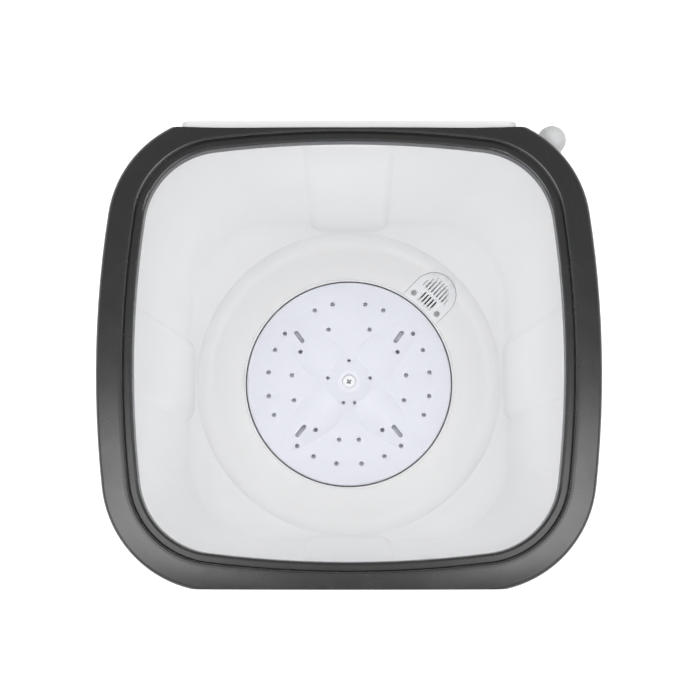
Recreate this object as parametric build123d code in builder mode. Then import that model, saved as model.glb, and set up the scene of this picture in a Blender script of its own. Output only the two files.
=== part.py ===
from build123d import *
import os
from math import acos, asin, atan2, cos, degrees, radians, sin, sqrt

os.makedirs("parts", exist_ok=True)

# Millimetres, Z up, origin on the floor under the tub's axis; the front faces -Y.

# Opening and body outline
opening_width = 358.5
opening_depth = 350.6
side_arc = 860.0
front_arc = 920.0
opening_corner = 66.5
rim_width = 30.75
front_reach = 197.0
back_reach = 188.1
back_hollow = 2.5
back_flat_half = 90.0
back_edge_half = 145.0

# Fits
seat_gap = 0.3
running_clearance = 0.05
hole_clearance = 0.3

# Heights of the frame and the cabinet
overall_height = 620.0
ledge_drop = 5.2
lip_drop = 16.0
skirt_drop = 28.0
frame_wall = 2.5
cabinet_wall = 2.5
tub_wall = 2.6
foot_height = 14.0
base_height = 46.0
ledge = overall_height - ledge_drop
skirt_bottom = overall_height - skirt_drop
base_top = foot_height + base_height
tub_flange_top = ledge - frame_wall - seat_gap
tub_flange_bottom = tub_flange_top - tub_wall
cabinet_top = tub_flange_bottom

# Frame section, outward from the opening and down from the crest
lip_round = 2.2
ledge_width = 6.5
crest_start = 8.8
crest_end = 10.8
crest_round = 1.4
shoulder_width = 27.8
shoulder_drop = 6.4
edge_drop = 10.6

# Cabinet
cabinet_grow = rim_width - frame_wall - seat_gap
foot_grow = 23.0
cabinet_front = front_reach - frame_wall - seat_gap
cabinet_back = 185.8
inside_back = back_reach - back_hollow - frame_wall - seat_gap
flange_width = 14.0
grip_width = 104.0
grip_height = 36.0
grip_depth = 17.0
grip_level = 536.0
grip_round = 9.0

# Tub
lip_clearance = 1.5
tub_flange_width = 22.0
tub_depth = 321.5
tub_floor_width = 336.0
tub_floor_depth = 334.0
tub_floor_corner = 88.0
panel_half_width = 49.0
panel_rise = 5.0
panel_round = 18.0
panel_top_drop = 22.0
basin_radius = 146.0
basin_edge_radius = 163.0
basin_rise = 17.0
shelf_slope = 48.0
wall_base_round = 40.0
recess_radius = 113.3
recess_depth = 22.0
floor_height = overall_height - tub_depth
recess_floor = floor_height - recess_depth
tub_underside = recess_floor - tub_wall

# Pulsator
pulsator_gap = 2.6
pulsator_wall = 2.6
pulsator_skirt = 9.0
hub_rise = 18.0
hub_radius = 14.0
knee_radius = 58.0
knee_rise = 2.3
shoulder_radius = 24.0
shoulder_rise = 11.0
vane_round = 50.0
vane_inner = 22.0
vane_outer = 104.0
vane_start = 11.5
hole_diameter = 4.8
small_hole_diameter = 3.8
outer_hole_ring = 88.0
inner_hole_ring = 62.3
small_hole_ring = 23.0
outer_hole_angles = (11.7, 25.2, 52.3, 65.9, 82.5, 99.3, 113.3, 140.6, 154.3, 171.2)
inner_hole_angles = (21.0, 57.5, 82.4, 107.5, 144.9, 170.2)
small_hole_angles = (0.0, 79.0, 165.0)
slot_length = 16.0
slot_width = 4.9
slot_ring = 73.5
back_slot_angle = 47.2
front_slot_angle = 135.2
back_slot_lean = 11.0
front_slot_lean = 6.0
pulsator_radius = recess_radius - pulsator_gap
hub_top = floor_height + hub_rise

# Shaft, bearings and housing
shaft_radius = 5.0
drive_square = 8.0
drive_length = 20.0
cap_radius = 7.2
cap_height = 3.6
cap_seat_depth = 3.2
screw_radius = 3.0
screw_length = 20.0
gasket_thickness = 2.0
housing_flange = 7.0
housing_flange_radius = 46.0
housing_radius = 17.0
neck_radius = 23.0
neck_rise = 6.0
seal_radius = 16.0
seal_height = 12.0
bush_radius = 9.0
bush_length = 18.0
plate_thickness = 3.0
pulley_level = 104.0
plate_top = tub_underside - gasket_thickness - housing_flange
plate_bottom = plate_top - plate_thickness
housing_bottom = 128.0

# Pulleys, belt and motor
large_pitch_radius = 92.0
small_pitch_radius = 24.0
pulley_width = 16.0
belt_top_width = 8.0
belt_bottom_width = 5.4
belt_outside = 2.0
belt_inside = 3.6
groove_clearance = 0.4
rim_thickness = 11.0
web_thickness = 4.0
pulley_hub_radius = 16.0
lightening_holes = 6
lightening_radius = 16.0
motor_distance = 135.0
motor_angle = 135.0
motor_radius = 52.0
motor_cover_wall = 3.0
core_height = 45.0
core_bore_gap = 0.5
rotor_radius = 30.0
end_turn_height = 12.0
mount_height = 16.0
mount_radius = 9.0
mount_circle = 60.0
ear_thickness = 4.0
bearing_radius = 11.0
bearing_width = 9.0
fan_radius = 44.0
fan_blades = 8

# Drain
drain_angle = 46.4
cover_reach = 134.3
cover_radius = 24.2
cover_thickness = 2.2
cover_gap = 0.4
cover_slot_width = 1.7
cover_slot_pitch = 3.9
outer_slots = 9
inner_slots = 5
fan_slot_radius = 17.2
cover_bar = 3.9
inner_slot_end = 117.8
cover_screw_reach = 120.8
cover_screw_spread = 17.1
cover_screw_head = 3.4
cover_screw_shank = 1.4
sump_radius = 17.0
sump_wall = 2.4
sump_depth = 28.0
spigot_radius = 8.3
spigot_bore = 6.3
spigot_length = 24.0
hose_radius = 11.0
hose_bore = 8.5
hose_reach = 254.7
outlet_level = 112.0
outlet_bend = 16.0
hose_top = 563.0
end_elbow_radius = 12.5
end_elbow_level = 575.5
peg_radius = 8.0
clamp_width = 8.0
clamp_thickness = 1.4
clip_levels = (255.0, 470.0)
clip_height = 15.0
clip_wall = 2.4

# Back cover
cover_back = 197.0
back_cover_half = 144.0
back_cover_foot_half = 132.0
back_cover_bottom = 84.0
back_cover_top = 603.0
back_cover_wall = 2.2
back_cover_round = 8.0
vent_length = 62.0
vent_width = 5.0
vent_pitch = 13.0
vent_rows = 7
vent_level = 200.0

# Control panel
panel_level = 212.0
panel_width = 188.0
panel_height = 80.0
panel_border = 7.0
panel_plate = 2.0
panel_recess = 10.0
timer_x = -42.0
selector_x = 46.0
timer_knob_radius = 22.0
selector_knob_radius = 17.0
knob_height = 12.0
control_shaft_radius = 3.0

# Base, feet and cord inlet
base_wall = 3.0
base_opening = 172.0
rib_height = 22.0
foot_radius = 19.0
foot_x = 152.0
foot_front = 142.0
foot_back = 134.0
cord_x = -92.0
cord_level = 38.0
grommet_radius = 11.0
grommet_bore = 4.0


def ring_points(half_width, half_depth, side_radius, front_radius, corner):
    """First quarter of an outline of tangent arcs: first tangent, corner middle, second tangent, centre."""
    side_centre = Vector(half_width - side_radius, 0)
    front_centre = Vector(0, half_depth - front_radius)
    between = front_centre - side_centre
    near = side_radius - corner
    far = front_radius - corner
    along = (near**2 - far**2 + between.length**2) / (2 * between.length)
    across = sqrt(near**2 - along**2)
    ahead = between.normalized()
    centre = side_centre + ahead * along + Vector(-ahead.Y, ahead.X) * across
    first = side_centre + (centre - side_centre).normalized() * side_radius
    second = front_centre + (centre - front_centre).normalized() * front_radius
    middle = centre + ((first + second) * 0.5 - centre).normalized() * corner
    return first, middle, second, centre


def arc_outline(half_width, half_depth, side_radius, front_radius, corner, height):
    """Face inside eight tangent arcs at one height."""
    first, middle, second, _ = ring_points(half_width, half_depth, side_radius, front_radius, corner)
    with BuildSketch(Plane.XY.offset(height)) as face:
        with BuildLine():
            for turn in (1, -1):
                right, left = turn, -turn
                ThreePointArc((right * first.X, left * first.Y), (right * half_width, 0),
                              (right * first.X, right * first.Y))
                ThreePointArc((right * first.X, right * first.Y), (right * middle.X, right * middle.Y),
                              (right * second.X, right * second.Y))
                ThreePointArc((right * second.X, right * second.Y), (0, right * half_depth),
                              (left * second.X, right * second.Y))
                ThreePointArc((left * second.X, right * second.Y), (left * middle.X, right * middle.Y),
                              (left * first.X, right * first.Y))
        make_face()
    return face.sketch


def body_outline(grow, height):
    """Outline of the opening grown outwards, at one height."""
    return arc_outline(opening_width / 2 + grow, opening_depth / 2 + grow,
                       side_arc + grow, front_arc + grow, opening_corner + grow, height)


def body_path():
    """The opening's edge as a closed path that starts at the middle of the right side."""
    half_width, half_depth = opening_width / 2, opening_depth / 2
    first, middle, second, _ = ring_points(half_width, half_depth, side_arc, front_arc, opening_corner)
    side_turn = asin(first.Y / side_arc)
    start = (half_width, 0)
    above = (half_width - side_arc + side_arc * cos(side_turn / 2), side_arc * sin(side_turn / 2))
    with BuildLine() as path:
        ThreePointArc(start, above, (first.X, first.Y))
        ThreePointArc((first.X, first.Y), (middle.X, middle.Y), (second.X, second.Y))
        ThreePointArc((second.X, second.Y), (0, half_depth), (-second.X, second.Y))
        ThreePointArc((-second.X, second.Y), (-middle.X, middle.Y), (-first.X, first.Y))
        ThreePointArc((-first.X, first.Y), (-half_width, 0), (-first.X, -first.Y))
        ThreePointArc((-first.X, -first.Y), (-middle.X, -middle.Y), (-second.X, -second.Y))
        ThreePointArc((-second.X, -second.Y), (0, -half_depth), (second.X, -second.Y))
        ThreePointArc((second.X, -second.Y), (middle.X, -middle.Y), (first.X, -first.Y))
        ThreePointArc((first.X, -first.Y), (above[0], -above[1]), start)
    return Wire(path.edges())


def frame_flats(inset):
    """Plan between the frame's flat front and its slightly hollow back, drawn in by inset."""
    reach = opening_width
    with BuildSketch() as plan:
        with BuildLine():
            middle = back_reach - back_hollow - inset
            Line((-back_flat_half, middle), (back_flat_half, middle))
            for side in (1, -1):
                TangentArc((side * back_flat_half, middle), (side * back_edge_half, back_reach - inset),
                           tangent=(side, 0))
            Polyline((-back_edge_half, back_reach - inset), (-reach, back_reach - inset),
                     (-reach, inset - front_reach), (reach, inset - front_reach),
                     (reach, back_reach - inset), (back_edge_half, back_reach - inset))
        make_face()
    return plan.sketch


def cabinet_solid(inset, low, high):
    """Body of the cabinet drawn in by inset all round, between two heights."""
    front = cabinet_front - inset
    back = cabinet_back - inset
    with BuildPart() as solid:
        loft(sections=[body_outline(foot_grow - inset, foot_height - 4),
                       body_outline(cabinet_grow - inset, skirt_bottom)], ruled=True)
        extrude(to_extrude=body_outline(cabinet_grow - inset, skirt_bottom), amount=skirt_drop + 10)
        with BuildSketch(Plane.XY.offset(low)):
            with Locations((0, (back - front) / 2)):
                Rectangle(2 * opening_width, front + back)
        extrude(amount=high - low, mode=Mode.INTERSECT)
    return solid.part


def polar(reach, angle):
    """Plan point at a distance from the tub's axis."""
    return reach * cos(radians(angle)), reach * sin(radians(angle))


# The drain plane runs outwards from the tub's axis through the sump and the hose; its y is up.
drain_direction = Vector(*polar(1, drain_angle), 0)
drain_plane = Plane(origin=(0, 0, 0), x_dir=drain_direction, z_dir=drain_direction.cross(Vector(0, 0, 1)))
drain_top = Plane(origin=(0, 0, 0), x_dir=drain_direction, z_dir=(0, 0, 1))
_, corner_middle, _, corner_centre = ring_points(
    opening_width / 2, opening_depth / 2, side_arc, front_arc, opening_corner)


# Top frame
def frame_point(out, drop):
    """Point of the frame's section, outward from the opening and down from the crest."""
    return opening_width / 2 + out, overall_height - drop


with BuildSketch(Plane.XZ) as frame_section:
    with BuildLine():
        lip = Line(frame_point(0, lip_drop), frame_point(0, ledge_drop + lip_round))
        lip_edge = RadiusArc(lip @ 1, frame_point(lip_round, ledge_drop), lip_round)
        shelf = Line(lip_edge @ 1, frame_point(ledge_width, ledge_drop))
        step = Line(shelf @ 1, frame_point(crest_start - crest_round, crest_round))
        crest_in = RadiusArc(step @ 1, frame_point(crest_start, 0), crest_round * 1.6)
        crest = Line(crest_in @ 1, frame_point(crest_end, 0))
        band = ThreePointArc(crest @ 1, frame_point((crest_end + shoulder_width) / 2, shoulder_drop * 0.47),
                             frame_point(shoulder_width, shoulder_drop))
        edge = RadiusArc(band @ 1, frame_point(rim_width, edge_drop), 5.0)
        Polyline(edge @ 1, frame_point(rim_width, skirt_drop), frame_point(frame_wall + 1, skirt_drop),
                 frame_point(frame_wall + 1, lip_drop), lip @ 0)
    make_face()

with BuildSketch(Plane.XZ) as frame_hollow_section:
    with BuildLine():
        Polyline(frame_point(frame_wall, skirt_drop + 1),
                 frame_point(frame_wall, ledge_drop + frame_wall),
                 frame_point(ledge_width, ledge_drop + frame_wall),
                 frame_point(crest_start + 0.6, frame_wall),
                 frame_point(crest_end + 0.6, frame_wall),
                 frame_point(shoulder_width - 1.6, shoulder_drop + frame_wall),
                 frame_point(rim_width - frame_wall, edge_drop - 0.5),
                 frame_point(rim_width - frame_wall, skirt_drop + 1),
                 close=True)
    make_face()

with BuildPart() as frame_hollow:
    sweep(sections=frame_hollow_section.sketch, path=body_path())
    extrude(to_extrude=frame_flats(frame_wall), amount=overall_height + 1, mode=Mode.INTERSECT)

boss_radius = 4.5
frame_boss_top = overall_height - 5.2
boss_spots = [(sx * (corner_middle.X + (corner_middle.X - corner_centre.X) / opening_corner * 18.5),
               sy * (corner_middle.Y + (corner_middle.Y - corner_centre.Y) / opening_corner * 18.5))
              for sx in (1, -1) for sy in (1, -1)]
frame_screw_radius = 2.0
frame_screw_bottom = cabinet_top - cabinet_wall

with BuildPart() as top_frame:
    sweep(sections=frame_section.sketch, path=body_path())
    extrude(to_extrude=frame_flats(0), amount=overall_height + 1, mode=Mode.INTERSECT)
    add(frame_hollow.part, mode=Mode.SUBTRACT)
    with BuildSketch(Plane.XY.offset(tub_flange_top)):
        with Locations(*boss_spots):
            Circle(boss_radius)
    extrude(amount=frame_boss_top - tub_flange_top)
    with Locations(*[(x, y, tub_flange_top) for x, y in boss_spots]):
        Cylinder(frame_screw_radius + running_clearance, frame_boss_top - seat_gap - tub_flange_top,
                 align=(Align.CENTER, Align.CENTER, Align.MIN), mode=Mode.SUBTRACT)
top_frame.part.label = "top_frame"
export_step(top_frame.part, "parts/top_frame.step")


def screws(spots, top, head, head_height, shank, length):
    """Pan-head screws pointing up, with the underside of their heads at one height."""
    with BuildPart() as group:
        with BuildSketch(Plane.XY.offset(top - head_height)):
            with Locations(*spots):
                Circle(head)
        extrude(amount=head_height)
        with BuildSketch(Plane.XY.offset(top)):
            with Locations(*spots):
                Circle(shank)
        extrude(amount=length)
    return group


frame_screws = screws(boss_spots, frame_screw_bottom, 3.8, 2.4, frame_screw_radius,
                      frame_boss_top - 2 * seat_gap - frame_screw_bottom)
frame_screws.part.label = "frame_screws"
export_step(frame_screws.part, "parts/frame_screws.step")


# Inner tub
def tub_hollow(grow):
    """Inside of the tub, grown outwards by grow: drafted walls over a round basin."""
    top_grow = lip_clearance + frame_wall
    wall_top = arc_outline(opening_width / 2 + top_grow + grow, opening_depth / 2 + top_grow + grow,
                           side_arc + grow, front_arc + grow, opening_corner + top_grow + grow,
                           overall_height)
    wall_bottom = arc_outline(tub_floor_width / 2 + grow, tub_floor_depth / 2 + grow, side_arc + grow,
                              front_arc + grow, tub_floor_corner + grow, floor_height)
    with BuildSketch(Plane.XZ) as bowl:
        with BuildLine():
            outer = Line((basin_edge_radius, floor_height + basin_rise),
                         (tub_floor_width * 0.75, floor_height + basin_rise
                          + (tub_floor_width * 0.75 - basin_edge_radius) * sin(radians(shelf_slope))))
            Polyline(outer @ 1, (tub_floor_width * 0.75, overall_height + 20),
                     (-20, overall_height + 20), (-20, recess_floor), (recess_radius - 4, recess_floor),
                     (recess_radius, recess_floor + 4), (recess_radius, floor_height - 1.6),
                     (recess_radius + 1.6, floor_height), (basin_radius, floor_height + 1.5))
            TangentArc((basin_radius, floor_height + 1.5), (basin_edge_radius, floor_height + basin_rise),
                       tangent=(1, 0.05))
        make_face()
        if grow > 0:
            offset(amount=grow, kind=Kind.INTERSECTION)
        with Locations((200, overall_height / 2)):
            Rectangle(400, 2 * overall_height, mode=Mode.INTERSECT)
    with BuildPart() as hollow:
        loft(sections=[wall_bottom, wall_top], ruled=True)
        extrude(to_extrude=wall_bottom, amount=-(recess_depth + 10))
        with BuildPart(mode=Mode.PRIVATE) as turned:
            revolve(profiles=bowl.sketch, axis=Axis.Z)
        add(turned.part, mode=Mode.INTERSECT)
        wall_base = (hollow.edges().filter_by(GeomType.BSPLINE)
                     .filter_by(lambda e: floor_height + 4 < e.center().Z < floor_height + 60))
        fillet(wall_base, radius=wall_base_round + grow)
    return hollow.part


def wall_panel(grow, half_floor, half_top):
    """Raised middle panel of one wall, pushed outwards by grow for the back of the wall."""
    top = overall_height - panel_top_drop
    lean = (half_top - half_floor) / tub_depth
    inner_floor = half_floor - panel_rise + grow
    inner_top = half_floor + lean * (top - floor_height) - panel_rise * 0.6 + grow
    with BuildSketch(Plane.XZ) as section:
        with BuildLine():
            Polyline((inner_floor, recess_floor), (inner_floor, floor_height), (inner_top, top),
                     (inner_top + panel_rise * 1.6, top + 7), (inner_top + 40, top + 7),
                     (inner_top + 40, recess_floor), close=True)
        make_face()
    with BuildPart() as panel:
        extrude(to_extrude=section.sketch, amount=panel_half_width - grow, both=True)
        fillet(panel.edges().filter_by(lambda e: abs(e.tangent_at(0.5).Y) < 0.01)
               .filter_by(lambda e: e.center().X < inner_top + 1)
               .filter_by(lambda e: e.length > 100), radius=panel_round - grow)
    return panel.part


drain_hole_radius = sump_radius - sump_wall
pocket_floor = floor_height - cover_thickness


def cover_outline(grow, height):
    """Tombstone outline of the filter cover on its seat, grown outwards."""
    with BuildSketch(drain_top.offset(height)) as outline:
        with Locations((cover_reach, 0)):
            Circle(cover_radius + grow)
        inner = recess_radius - 3
        with Locations(((cover_reach + inner) / 2, 0)):
            Rectangle(cover_reach - inner, 2 * (cover_radius + grow))
    return outline.sketch


def tub_body(grow):
    """Hollow of the tub with its wall panels and the seat of the filter cover, grown outwards."""
    top_grow = lip_clearance + frame_wall
    with BuildPart() as body:
        add(tub_hollow(grow))
        side = wall_panel(grow, tub_floor_width / 2, opening_width / 2 + top_grow)
        front = wall_panel(grow, tub_floor_depth / 2, opening_depth / 2 + top_grow)
        for turn, panel in ((0, side), (180, side), (90, front), (270, front)):
            add(panel.rotate(Axis.Z, turn), mode=Mode.SUBTRACT)
        extrude(to_extrude=cover_outline(cover_gap + grow, pocket_floor - grow), amount=24)
    return body.part


plate_boss_circle = 56.0
plate_boss_angles = (0, 90, 180, 270)
plate_boss_spots = [polar(plate_boss_circle, angle) for angle in plate_boss_angles]
plate_boss_radius = 8.0
plate_screw_radius = 2.9
cover_screw_spots = [(cover_screw_reach, side * cover_screw_spread) for side in (1, -1)]
cover_boss_length = 9.0

with BuildPart() as inner_tub:
    add(tub_body(tub_wall))
    with BuildSketch(Plane.XY.offset(plate_top)):
        with Locations(*plate_boss_spots):
            Circle(plate_boss_radius)
    extrude(amount=tub_underside - plate_top + 1)
    with BuildSketch(drain_top.offset(pocket_floor - cover_boss_length)):
        with Locations(*cover_screw_spots):
            Circle(cover_screw_head + 0.6)
    extrude(amount=cover_boss_length - 1)
    extrude(to_extrude=body_outline(tub_flange_width, tub_flange_bottom), amount=tub_wall)
    with BuildSketch(Plane.XY.offset(recess_floor - 60)):
        with Locations((0, (inside_back - cabinet_front) / 2)):
            Rectangle(2 * opening_width, cabinet_front + inside_back)
    extrude(amount=tub_flange_top - recess_floor + 60, mode=Mode.INTERSECT)
    add(tub_body(0), mode=Mode.SUBTRACT)
    Cylinder(neck_radius + hole_clearance, overall_height, mode=Mode.SUBTRACT)
    with BuildSketch(drain_top.offset(recess_floor)):
        with Locations((cover_reach, 0)):
            Circle(drain_hole_radius)
    extrude(amount=recess_depth + 2, mode=Mode.SUBTRACT)
    with BuildSketch(drain_top.offset(pocket_floor - cover_boss_length - 1)):
        with Locations(*cover_screw_spots):
            Circle(cover_screw_shank + running_clearance)
    extrude(amount=cover_boss_length + 4, mode=Mode.SUBTRACT)
    with BuildSketch(Plane.XY.offset(plate_top - 1)):
        with Locations(*plate_boss_spots):
            Circle(plate_screw_radius + running_clearance)
    extrude(amount=7.5, mode=Mode.SUBTRACT)
    with BuildSketch(Plane.XY.offset(tub_flange_bottom - 1)):
        with Locations(*boss_spots):
            Circle(frame_screw_radius + hole_clearance)
    extrude(amount=tub_wall + 2, mode=Mode.SUBTRACT)
inner_tub.part.label = "inner_tub"
export_step(inner_tub.part, "parts/inner_tub.step")


# Pulsator
def both_sides(ring, angles):
    """Plan points on a ring, at angles measured from the back and mirrored left to right."""
    spots = [polar(ring, 90 - angle) for angle in angles]
    return spots + [(-x, y) for x, y in spots if abs(x) > 1]


def slot_spots():
    """Place and turn of the four slots, one on each vane."""
    spots = []
    for angle, lean in ((back_slot_angle, back_slot_lean), (front_slot_angle, -front_slot_lean)):
        x, y = polar(slot_ring, 90 - angle)
        turn = 90 - angle + lean
        spots += [((x, y), turn), ((-x, y), 180 - turn)]
    return spots


def disc_crown(rim, drop):
    """Profile of the disc from its rim to its hub, lowered by drop; returns its two ends."""
    edge = Line((rim, floor_height - drop), (knee_radius, floor_height + knee_rise - drop))
    sweep_up = TangentArc(edge @ 1, (shoulder_radius, floor_height + shoulder_rise - drop), tangent=edge % 1)
    neck = Line(sweep_up @ 1, (hub_radius + 1.5, hub_top - 2.2 - drop))
    return edge @ 0, neck @ 1


with BuildSketch(Plane.XZ) as disc_section:
    with BuildLine():
        rim_end, neck_end = disc_crown(pulsator_radius - 1.5, 0)
        Polyline(neck_end, (hub_radius - 2, hub_top), (0, hub_top), (0, floor_height - pulsator_skirt),
                 (pulsator_radius, floor_height - pulsator_skirt),
                 (pulsator_radius, floor_height - 1.5), rim_end)
    make_face()

with BuildSketch(Plane.XZ) as disc_hollow_section:
    with BuildLine():
        under_rim = pulsator_radius - pulsator_wall
        rim_end, neck_end = disc_crown(under_rim, pulsator_wall)
        Polyline(neck_end, (hub_radius + 1.5, floor_height - pulsator_skirt - 1),
                 (under_rim, floor_height - pulsator_skirt - 1), rim_end)
    make_face()

crest = Vector(vane_outer - vane_inner, 0, -vane_start)
with BuildPart() as vane:
    with BuildSketch(Plane(origin=(vane_inner, 0, floor_height + vane_start), x_dir=(0, 1, 0), z_dir=crest)):
        with Locations((0, -vane_round)):
            Circle(vane_round)
    extrude(amount=crest.length)
    with BuildSketch(Plane.XY.offset(floor_height - 0.5)):
        Circle(vane_outer)
        Circle(vane_inner, mode=Mode.SUBTRACT)
    extrude(amount=vane_start + 2, mode=Mode.INTERSECT)


with BuildPart() as pulsator:
    revolve(profiles=disc_section.sketch, axis=Axis.Z)
    for (slot_x, slot_y), turn in slot_spots():
        add(vane.part.rotate(Axis.Z, degrees(atan2(slot_y, slot_x))))
    revolve(profiles=disc_hollow_section.sketch, axis=Axis.Z, mode=Mode.SUBTRACT)
    with BuildSketch(Plane.XY.offset(floor_height - pulsator_skirt - 1)):
        with Locations(*both_sides(outer_hole_ring, outer_hole_angles),
                       *both_sides(inner_hole_ring, inner_hole_angles)):
            Circle(hole_diameter / 2)
        with Locations(*both_sides(small_hole_ring, small_hole_angles)):
            Circle(small_hole_diameter / 2)
        for spot, turn in slot_spots():
            with Locations(Location(spot, turn)):
                SlotOverall(slot_length, slot_width)
    extrude(amount=pulsator_skirt + hub_rise + 5, mode=Mode.SUBTRACT)
    with BuildSketch(Plane.XY.offset(floor_height - pulsator_skirt - 1)):
        Rectangle(drive_square + 0.1, drive_square + 0.1)
    extrude(amount=pulsator_skirt + 1 + drive_length - 9 + seat_gap, mode=Mode.SUBTRACT)
    Cylinder(screw_radius + hole_clearance, hub_top,
             align=(Align.CENTER, Align.CENTER, Align.MIN), mode=Mode.SUBTRACT)
    with Locations((0, 0, hub_top - cap_seat_depth)):
        Cylinder(cap_radius + hole_clearance, cap_seat_depth + 1,
                 align=(Align.CENTER, Align.CENTER, Align.MIN), mode=Mode.SUBTRACT)
pulsator.part.label = "pulsator"
export_step(pulsator.part, "parts/pulsator.step")

cap_seat = hub_top - cap_seat_depth
shaft_top = floor_height + drive_length - 9
with BuildPart() as pulsator_screw:
    with BuildSketch(Plane.XZ):
        with BuildLine():
            dome = RadiusArc((0, cap_seat + cap_height), (cap_radius, cap_seat + cap_height * 0.45), 16)
            Polyline(dome @ 1, (cap_radius, cap_seat), (screw_radius, cap_seat),
                     (screw_radius, cap_seat - screw_length), (0, cap_seat - screw_length), dome @ 0)
        make_face()
    revolve(axis=Axis.Z)
    with BuildSketch(Plane.XY.offset(cap_seat + cap_height - 2.2)):
        Rectangle(6.4, 1.5)
        Rectangle(1.5, 6.4)
    extrude(amount=4, mode=Mode.SUBTRACT)
pulsator_screw.part.label = "pulsator_screw"
export_step(pulsator_screw.part, "parts/pulsator_screw.step")


# Pulsator shaft: square at the top for the pulsator, threaded at the foot for the pulley nut
shaft_bottom = pulley_level - pulley_width / 2 - 16
with BuildPart() as pulsator_shaft:
    with Locations((0, 0, shaft_bottom)):
        Cylinder(shaft_radius, shaft_top - drive_length - shaft_bottom,
                 align=(Align.CENTER, Align.CENTER, Align.MIN))
    with BuildSketch(Plane.XY.offset(shaft_top - drive_length)):
        Rectangle(drive_square, drive_square)
        Circle(shaft_radius, mode=Mode.INTERSECT)
    extrude(amount=drive_length)
    with Locations((0, 0, shaft_top)):
        Cylinder(screw_radius + running_clearance, screw_length,
                 align=(Align.CENTER, Align.CENTER, Align.MAX), mode=Mode.SUBTRACT)
    chamfer(pulsator_shaft.faces().sort_by(Axis.Z)[0].edges(), length=0.8)
pulsator_shaft.part.label = "pulsator_shaft"
export_step(pulsator_shaft.part, "parts/pulsator_shaft.step")


def turned(points):
    """Solid turned about the tub's axis from a closed outline of radius and height."""
    with BuildPart() as solid:
        with BuildSketch(Plane.XZ):
            with BuildLine():
                Polyline(*points, close=True)
            make_face()
        revolve(axis=Axis.Z)
    return solid


# Water seal, with its lips on the shaft
neck_top = recess_floor + neck_rise
seal_bottom = neck_top - seal_height
lip_radius = shaft_radius + running_clearance
water_seal = turned([(lip_radius, neck_top - 3), (lip_radius, neck_top - 4.5), (lip_radius + 3, neck_top - 6),
                     (lip_radius + 3, seal_bottom + 4), (lip_radius, seal_bottom + 2.6),
                     (lip_radius, seal_bottom), (seal_radius, seal_bottom), (seal_radius, neck_top),
                     (lip_radius + 4, neck_top)])
water_seal.part.label = "water_seal"
export_step(water_seal.part, "parts/water_seal.step")

# Bearing housing: a neck through the tub's floor, a flange on the drive plate and a ribbed tube
housing_flange_top = plate_top + housing_flange
bush_bore = bush_radius + running_clearance
bolt_circle = 36.0
bolt_spots = [polar(bolt_circle, angle) for angle in (45, 135, 225, 315)]
housing_bolt_radius = 2.5
with BuildPart() as bearing_housing:
    add(turned([(seal_radius + running_clearance, neck_top), (neck_radius, neck_top),
                (neck_radius, housing_flange_top), (housing_flange_radius, housing_flange_top),
                (housing_flange_radius, plate_top), (housing_radius, plate_top),
                (housing_radius, housing_bottom), (bush_bore, housing_bottom),
                (bush_bore, housing_bottom + bush_length), (shaft_radius + 2, housing_bottom + bush_length),
                (shaft_radius + 2, seal_bottom - bush_length), (bush_bore, seal_bottom - bush_length),
                (bush_bore, seal_bottom), (seal_radius + running_clearance, seal_bottom)]).part)
    with BuildSketch(Plane.XZ) as gusset:
        with BuildLine():
            Polyline((housing_radius - 1, plate_bottom - 1), (housing_radius + 2.5, plate_bottom - 1),
                     (housing_radius + 2.5, housing_bottom + 30), (housing_radius - 1, housing_bottom + 20),
                     close=True)
        make_face()
    with BuildPart(mode=Mode.PRIVATE) as rib:
        extrude(to_extrude=gusset.sketch, amount=2, both=True)
    for turn in (0, 90, 180, 270):
        add(rib.part.rotate(Axis.Z, turn))
    with BuildSketch(Plane.XY.offset(plate_top - 1)):
        with Locations(*bolt_spots):
            Circle(housing_bolt_radius + running_clearance)
    extrude(amount=housing_flange - 0.5, mode=Mode.SUBTRACT)
bearing_housing.part.label = "bearing_housing"
export_step(bearing_housing.part, "parts/bearing_housing.step")

upper_bush = turned([(lip_radius, seal_bottom - bush_length), (bush_radius, seal_bottom - bush_length),
                     (bush_radius, seal_bottom), (lip_radius, seal_bottom)])
upper_bush.part.label = "upper_bush"
export_step(upper_bush.part, "parts/upper_bush.step")

bush_collar = 3.0
lower_bush = turned([(lip_radius, housing_bottom - bush_collar),
                     (bush_radius + 3, housing_bottom - bush_collar), (bush_radius + 3, housing_bottom),
                     (bush_radius, housing_bottom), (bush_radius, housing_bottom + bush_length),
                     (lip_radius, housing_bottom + bush_length)])
lower_bush.part.label = "lower_bush"
export_step(lower_bush.part, "parts/lower_bush.step")

hub_gasket = turned([(neck_radius + hole_clearance, housing_flange_top),
                     (housing_flange_radius, housing_flange_top),
                     (housing_flange_radius, tub_underside), (neck_radius + hole_clearance, tub_underside)])
hub_gasket.part.label = "hub_gasket"
export_step(hub_gasket.part, "parts/hub_gasket.step")


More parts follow.
